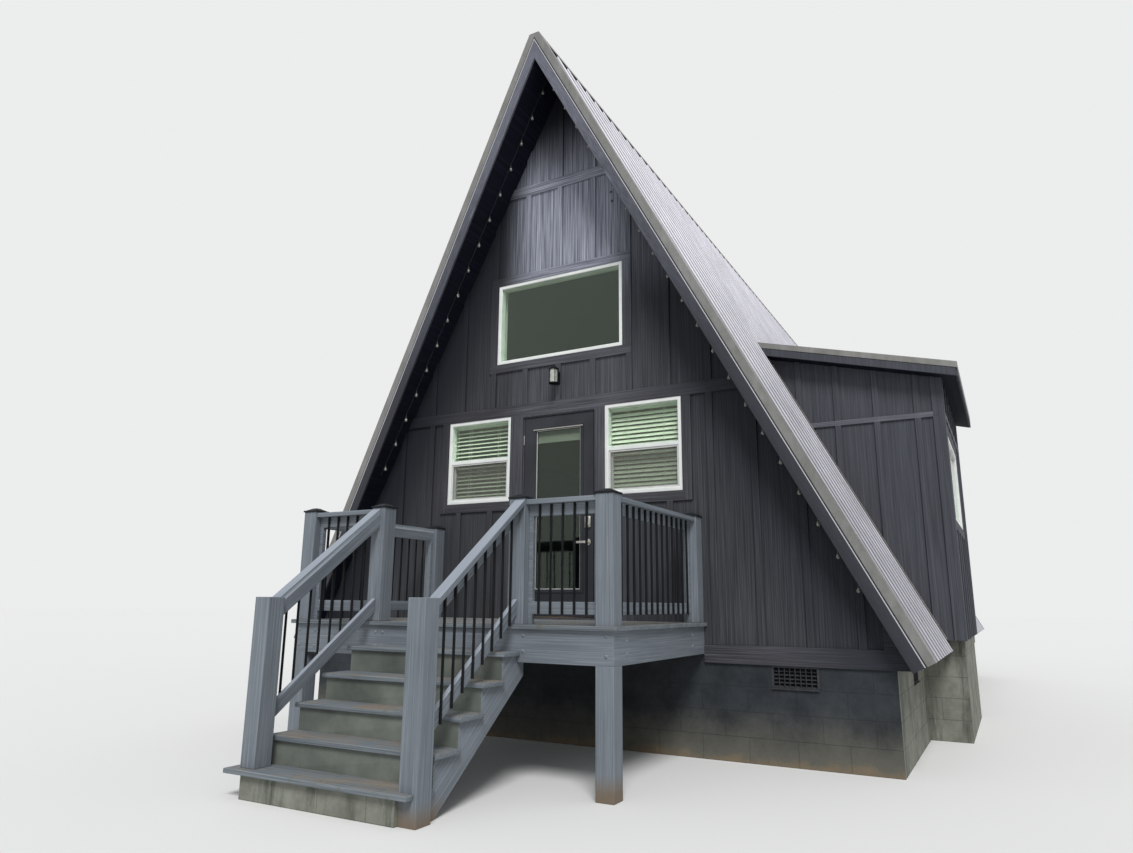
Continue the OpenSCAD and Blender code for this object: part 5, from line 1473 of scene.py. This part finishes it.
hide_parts("lower_windows")
low_panes = bars_piece("lower_window_panes", panes, pane_glass, ease=0.0004)
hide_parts("lower_glass")
print("low window frames made:", len(low_frames.data.polygons), "faces")

# %% [markdown]
# The wide window in the gable is fixed. It has the same frame and one pane.

# %% Upper window
upper_low, upper_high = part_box("upper_window")
vinyl = bmesh.new()
mitred_ring(vinyl, upper_low.x, upper_high.x, upper_low.z, upper_high.z, frame_profile)
top_frame = finished("upper_window_frame", vinyl, white_vinyl, ease=0.0006)
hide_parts("upper_window")
top_pane = bars_piece("upper_window_pane", [
    (rectangle(pane_front, pane_back, upper_low.z + pane_inset, upper_high.z - pane_inset),
     upper_low.x + pane_inset, upper_high.x - pane_inset),
], pane_glass, ease=0.0004)
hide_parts("upper_glass")
print("upper window frame made:", len(top_frame.data.polygons), "faces")

# %% [markdown]
# ## Insect screens
# The lower half of each low window has an aluminium frame with a stretched mesh. The mesh is one
# flat sheet of cloth, tucked 3 mm under the frame all round, and it bellies inward by a
# millimetre.

# %% Screens
frame_low, frame_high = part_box("screen_frames")
middle_y, middle_z = (frame_low.y + frame_high.y) / 2, (frame_low.z + frame_high.z) / 2
screen_width, screen_height = 0.704, 0.3725
screen_belly = 0.001


def screen_mesh(name, centre_x, columns=12, levels=7):
    """A flat grid of cloth that bellies inward at its middle."""
    points, faces = [], []
    for j in range(levels + 1):
        for i in range(columns + 1):
            u, v = i / columns - 0.5, j / levels - 0.5
            belly = screen_belly * (1 - 4 * u * u) * (1 - 4 * v * v)
            points.append((centre_x + u * screen_width, middle_y + belly,
                           middle_z + v * screen_height))
    for j in range(levels):
        for i in range(columns):
            a = j * (columns + 1) + i
            faces.append((a, a + 1, a + columns + 2, a + columns + 1))
    mesh = bpy.data.meshes.new(name)
    mesh.from_pydata(points, [], faces)
    mesh.shade_smooth()
    mesh.materials.append(screen_cloth)
    return mesh


for name, centre_x in (("insect_screen_left", -low_window_x),
                       ("insect_screen_right", low_window_x)):
    screen = piece_of(name, screen_mesh(name, centre_x))
print("screens made,", screen_width, "by", screen_height, "m each")

# %% [markdown]
# ## Door details
# A pale strip round the door's glass is a painted highlight: it stands for the light that the
# edges round the glass catch. Behind the glass a blind is drawn up under the top edge: a pale
# stack of folds over a lower rail.

# %% Glazing strip and raised blind
glass_low, glass_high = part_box("door_glass")
bead_front, bead_back, bead_wide = -0.068, glass_low.y - 0.0005, 0.008
beads = []
for z0 in (glass_low.z, glass_high.z - bead_wide):
    beads.append((rectangle(bead_front, bead_back, z0, z0 + bead_wide),
                  glass_low.x, glass_high.x))
for x0 in (glass_low.x, glass_high.x - bead_wide):
    beads.append((rectangle(bead_front, bead_back, glass_low.z + bead_wide,
                            glass_high.z - bead_wide), x0, x0 + bead_wide))
bars_piece("door_glazing_strip", beads, edge_highlight_strip, body="door")

stack_front, stack_back = glass_high.y + 0.002, glass_high.y + 0.013
stack_top = glass_high.z - 0.012
fold_count, fold_pitch, fold_height = 11, 0.0095, 0.0085
stack = []
for fold in range(fold_count):
    z = stack_top - fold * fold_pitch
    stack.append((rectangle(stack_front, stack_back, z - fold_height, z),
                  glass_low.x + 0.006, glass_high.x - 0.006))
foot_z = stack_top - fold_count * fold_pitch
stack.append((rectangle(stack_front, stack_back, foot_z - 0.016, foot_z),
              glass_low.x + 0.004, glass_high.x - 0.004))
bars_piece("door_blind_stack", stack, slat_paint, body="door")
print("strip made of", len(beads), "bars, blind of", len(stack))

# %% [markdown]
# The lock's keypad has two columns of small round buttons. A domed bolt head and a button have
# the same outline, so the recipe of the bolts makes the buttons too.

# %% Keypad
key_x, key_face = 0.3665, -0.091
lowest_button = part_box("door_handle")[1].z - 0.052
button_pitch = 0.0088
buttons = []
for column in (-0.011, 0.011):
    for level in range(5):
        z = lowest_button + button_pitch * level
        buttons.append((Vector((key_x + column, key_face + 0.0005, z)), ahead))
grown("keypad_buttons", point_mesh("button_points", buttons), dome_recipe, {
    "Length": 0.002, "Radius": 0.0036, "Sides": 12, "Steps": 4, "Seed": 2,
    "Material": button_rubber,
}, body="door")
print("keypad buttons at", [round(b[0].z, 3) for b in buttons[:5]])

# %% [markdown]
# ## Ragged flashing
# Beside each end wall of the dormer lies a strip of flashing that was cut and dressed by hand.
# Its free edge wanders by a centimetre or so and lifts here and there. A strip of small faces
# follows the slope, and a sum of a few waves moves its edge.

# %% Flashing
flash_low, flash_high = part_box("dormer_flashing")
flash_top = (apex - flash_high.z) / math.cos(roof_angle) + 0.02
flash_foot = (apex - flash_low.z) / math.cos(roof_angle) + 0.006
flash_t = rib_height + 0.0007
wave_length = 1.1


def ragged_strip(shape, y_fixed, y_free, seed, steps=120, wave_count=5):
    """A thin strip down the slope with a wavy free edge."""
    chance = random.Random(seed)
    waves = [(chance.uniform(2, 9), chance.uniform(0, math.tau)) for _ in range(wave_count)]
    rows = []
    for step in range(steps + 1):
        s = flash_top + (flash_foot - flash_top) * step / steps
        turns = s * math.tau / wave_length
        swing = sum(math.sin(rate * turns + start) for rate, start in waves) / wave_count
        edge = y_free + (y_fixed - y_free) * (0.10 + 0.10 * swing)
        lift = 0.0012 * (1 + swing)
        rows.append([
            shape.verts.new(on_slope(s, flash_t, y_fixed)),
            shape.verts.new(on_slope(s, flash_t, edge)),
            shape.verts.new(on_slope(s, flash_t + 0.0012 + lift * 0.4, edge)),
            shape.verts.new(on_slope(s, flash_t + 0.0022, (y_fixed + edge) / 2)),
            shape.verts.new(on_slope(s, flash_t + 0.0022, y_fixed)),
        ])
    for above, below in zip(rows, rows[1:]):
        for i in range(5):
            j = (i + 1) % 5
            shape.faces.new((above[i], above[j], below[j], below[i]))
    shape.faces.new(rows[0])
    shape.faces.new(rows[-1])


shape = bmesh.new()
ragged_strip(shape, dormer_from - 0.019, flash_low.y, 21)
ragged_strip(shape, dormer_to + 0.019, flash_high.y, 22)
bmesh.ops.recalc_face_normals(shape, faces=shape.faces)
mesh = bpy.data.meshes.new("ragged_flashing")
shape.to_mesh(mesh)
shape.free()
mesh.shade_smooth()
mesh.set_sharp_from_angle(angle=math.radians(38))
mesh.materials.append(flashing_metal)
flashing = piece_of("ragged_flashing", mesh)
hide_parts("dormer_flashing")
print("flashing made,", round(flash_foot - flash_top, 2), "m down the slope")

# %% [markdown]
# ## Floor and light
# The floor is a pale grey and the far background nearly white. The light is a pale sky from all
# round with one wide, soft lamp above the front, so that the ribs and boards cast soft shadows.

# %% Floor
floor_reach = 120
floor_mesh = bpy.data.meshes.new("studio_floor")
floor_mesh.from_pydata([(-floor_reach, -floor_reach, 0), (floor_reach, -floor_reach, 0),
                        (floor_reach, floor_reach, 0), (-floor_reach, floor_reach, 0)],
                       [], [(0, 1, 2, 3)])
floor = bpy.data.objects.new("studio_floor", floor_mesh)
bpy.context.scene.collection.objects.link(floor)
floor_finish, floor_tree, _ = new_material("studio_floor")
close_material(floor_tree, add(floor_tree, "ShaderNodeBsdfPrincipled", {
    "Base Color": "#dcdcda", "Roughness": 0.9,
}))
floor_mesh.materials.append(floor_finish)
print("floor made,", 2 * floor_reach, "m wide")

# %% [markdown]
# The world has two parts. Rays that the camera sends out directly, or by way of a mirror or a
# pane, meet a nearly white backdrop. All other rays meet a dimmer sky, which lights the cabin
# without bleaching its colours.

# %% Sky and lamp
world = bpy.data.worlds.new("studio_world")
bpy.context.scene.world = world
world.use_nodes = True
sky = world.node_tree
sky.nodes.clear()
ray = add(sky, "ShaderNodeLightPath").outputs
direct = add(sky, "ShaderNodeMath", {0: ray["Is Camera Ray"], 1: ray["Is Glossy Ray"]},
             operation="MAXIMUM")
seen_through = add(sky, "ShaderNodeMath", {0: direct, 1: ray["Is Transmission Ray"]},
                   operation="MAXIMUM")
behind = add(sky, "ShaderNodeBackground", {"Color": "#eceded", "Strength": 1.0})
around = add(sky, "ShaderNodeBackground", {"Color": "#f1f4f8", "Strength": 0.58})
chosen = add(sky, "ShaderNodeMixShader", {0: seen_through, 1: around, 2: behind})
add(sky, "ShaderNodeOutputWorld", {"Surface": chosen})

lamp_data = bpy.data.lights.new("soft_lamp", "SUN")
lamp_data.energy = 2.6
lamp_data.angle = math.radians(20)
lamp = bpy.data.objects.new("soft_lamp", lamp_data)
lamp.rotation_euler = Vector((-0.45, 0.75, -1.0)).to_track_quat("-Z", "Y").to_euler()
bpy.context.scene.collection.objects.link(lamp)
print("lamp strength", round(lamp_data.energy, 2))

# %% [markdown]
# The camera has the photograph's own place and angle, worked out from corners whose sizes are
# known. It turns left, tilts up and leans a little, as a telephone held by hand does.

# %% Camera
photo_width, focal_pixels = 1133, 787
turn_left, tilt_up, roll = 0.508, 0.222, 0.009
camera_data = bpy.data.cameras.new("camera")
camera_data.sensor_fit = "HORIZONTAL"
camera_data.sensor_width = 36
camera_data.lens = focal_pixels / photo_width * camera_data.sensor_width
camera = bpy.data.objects.new("camera", camera_data)
camera.location = (3.948, -6.956, 1.283)
camera.rotation_euler = (Matrix.Rotation(turn_left, 3, "Z")
                         @ Matrix.Rotation(math.pi / 2 + tilt_up, 3, "X")
                         @ Matrix.Rotation(roll, 3, "Z")).to_euler()
bpy.context.scene.collection.objects.link(camera)
bpy.context.scene.camera = camera
bpy.context.scene.view_settings.view_transform = "Standard"
print("lens", round(camera_data.lens, 1), "mm")
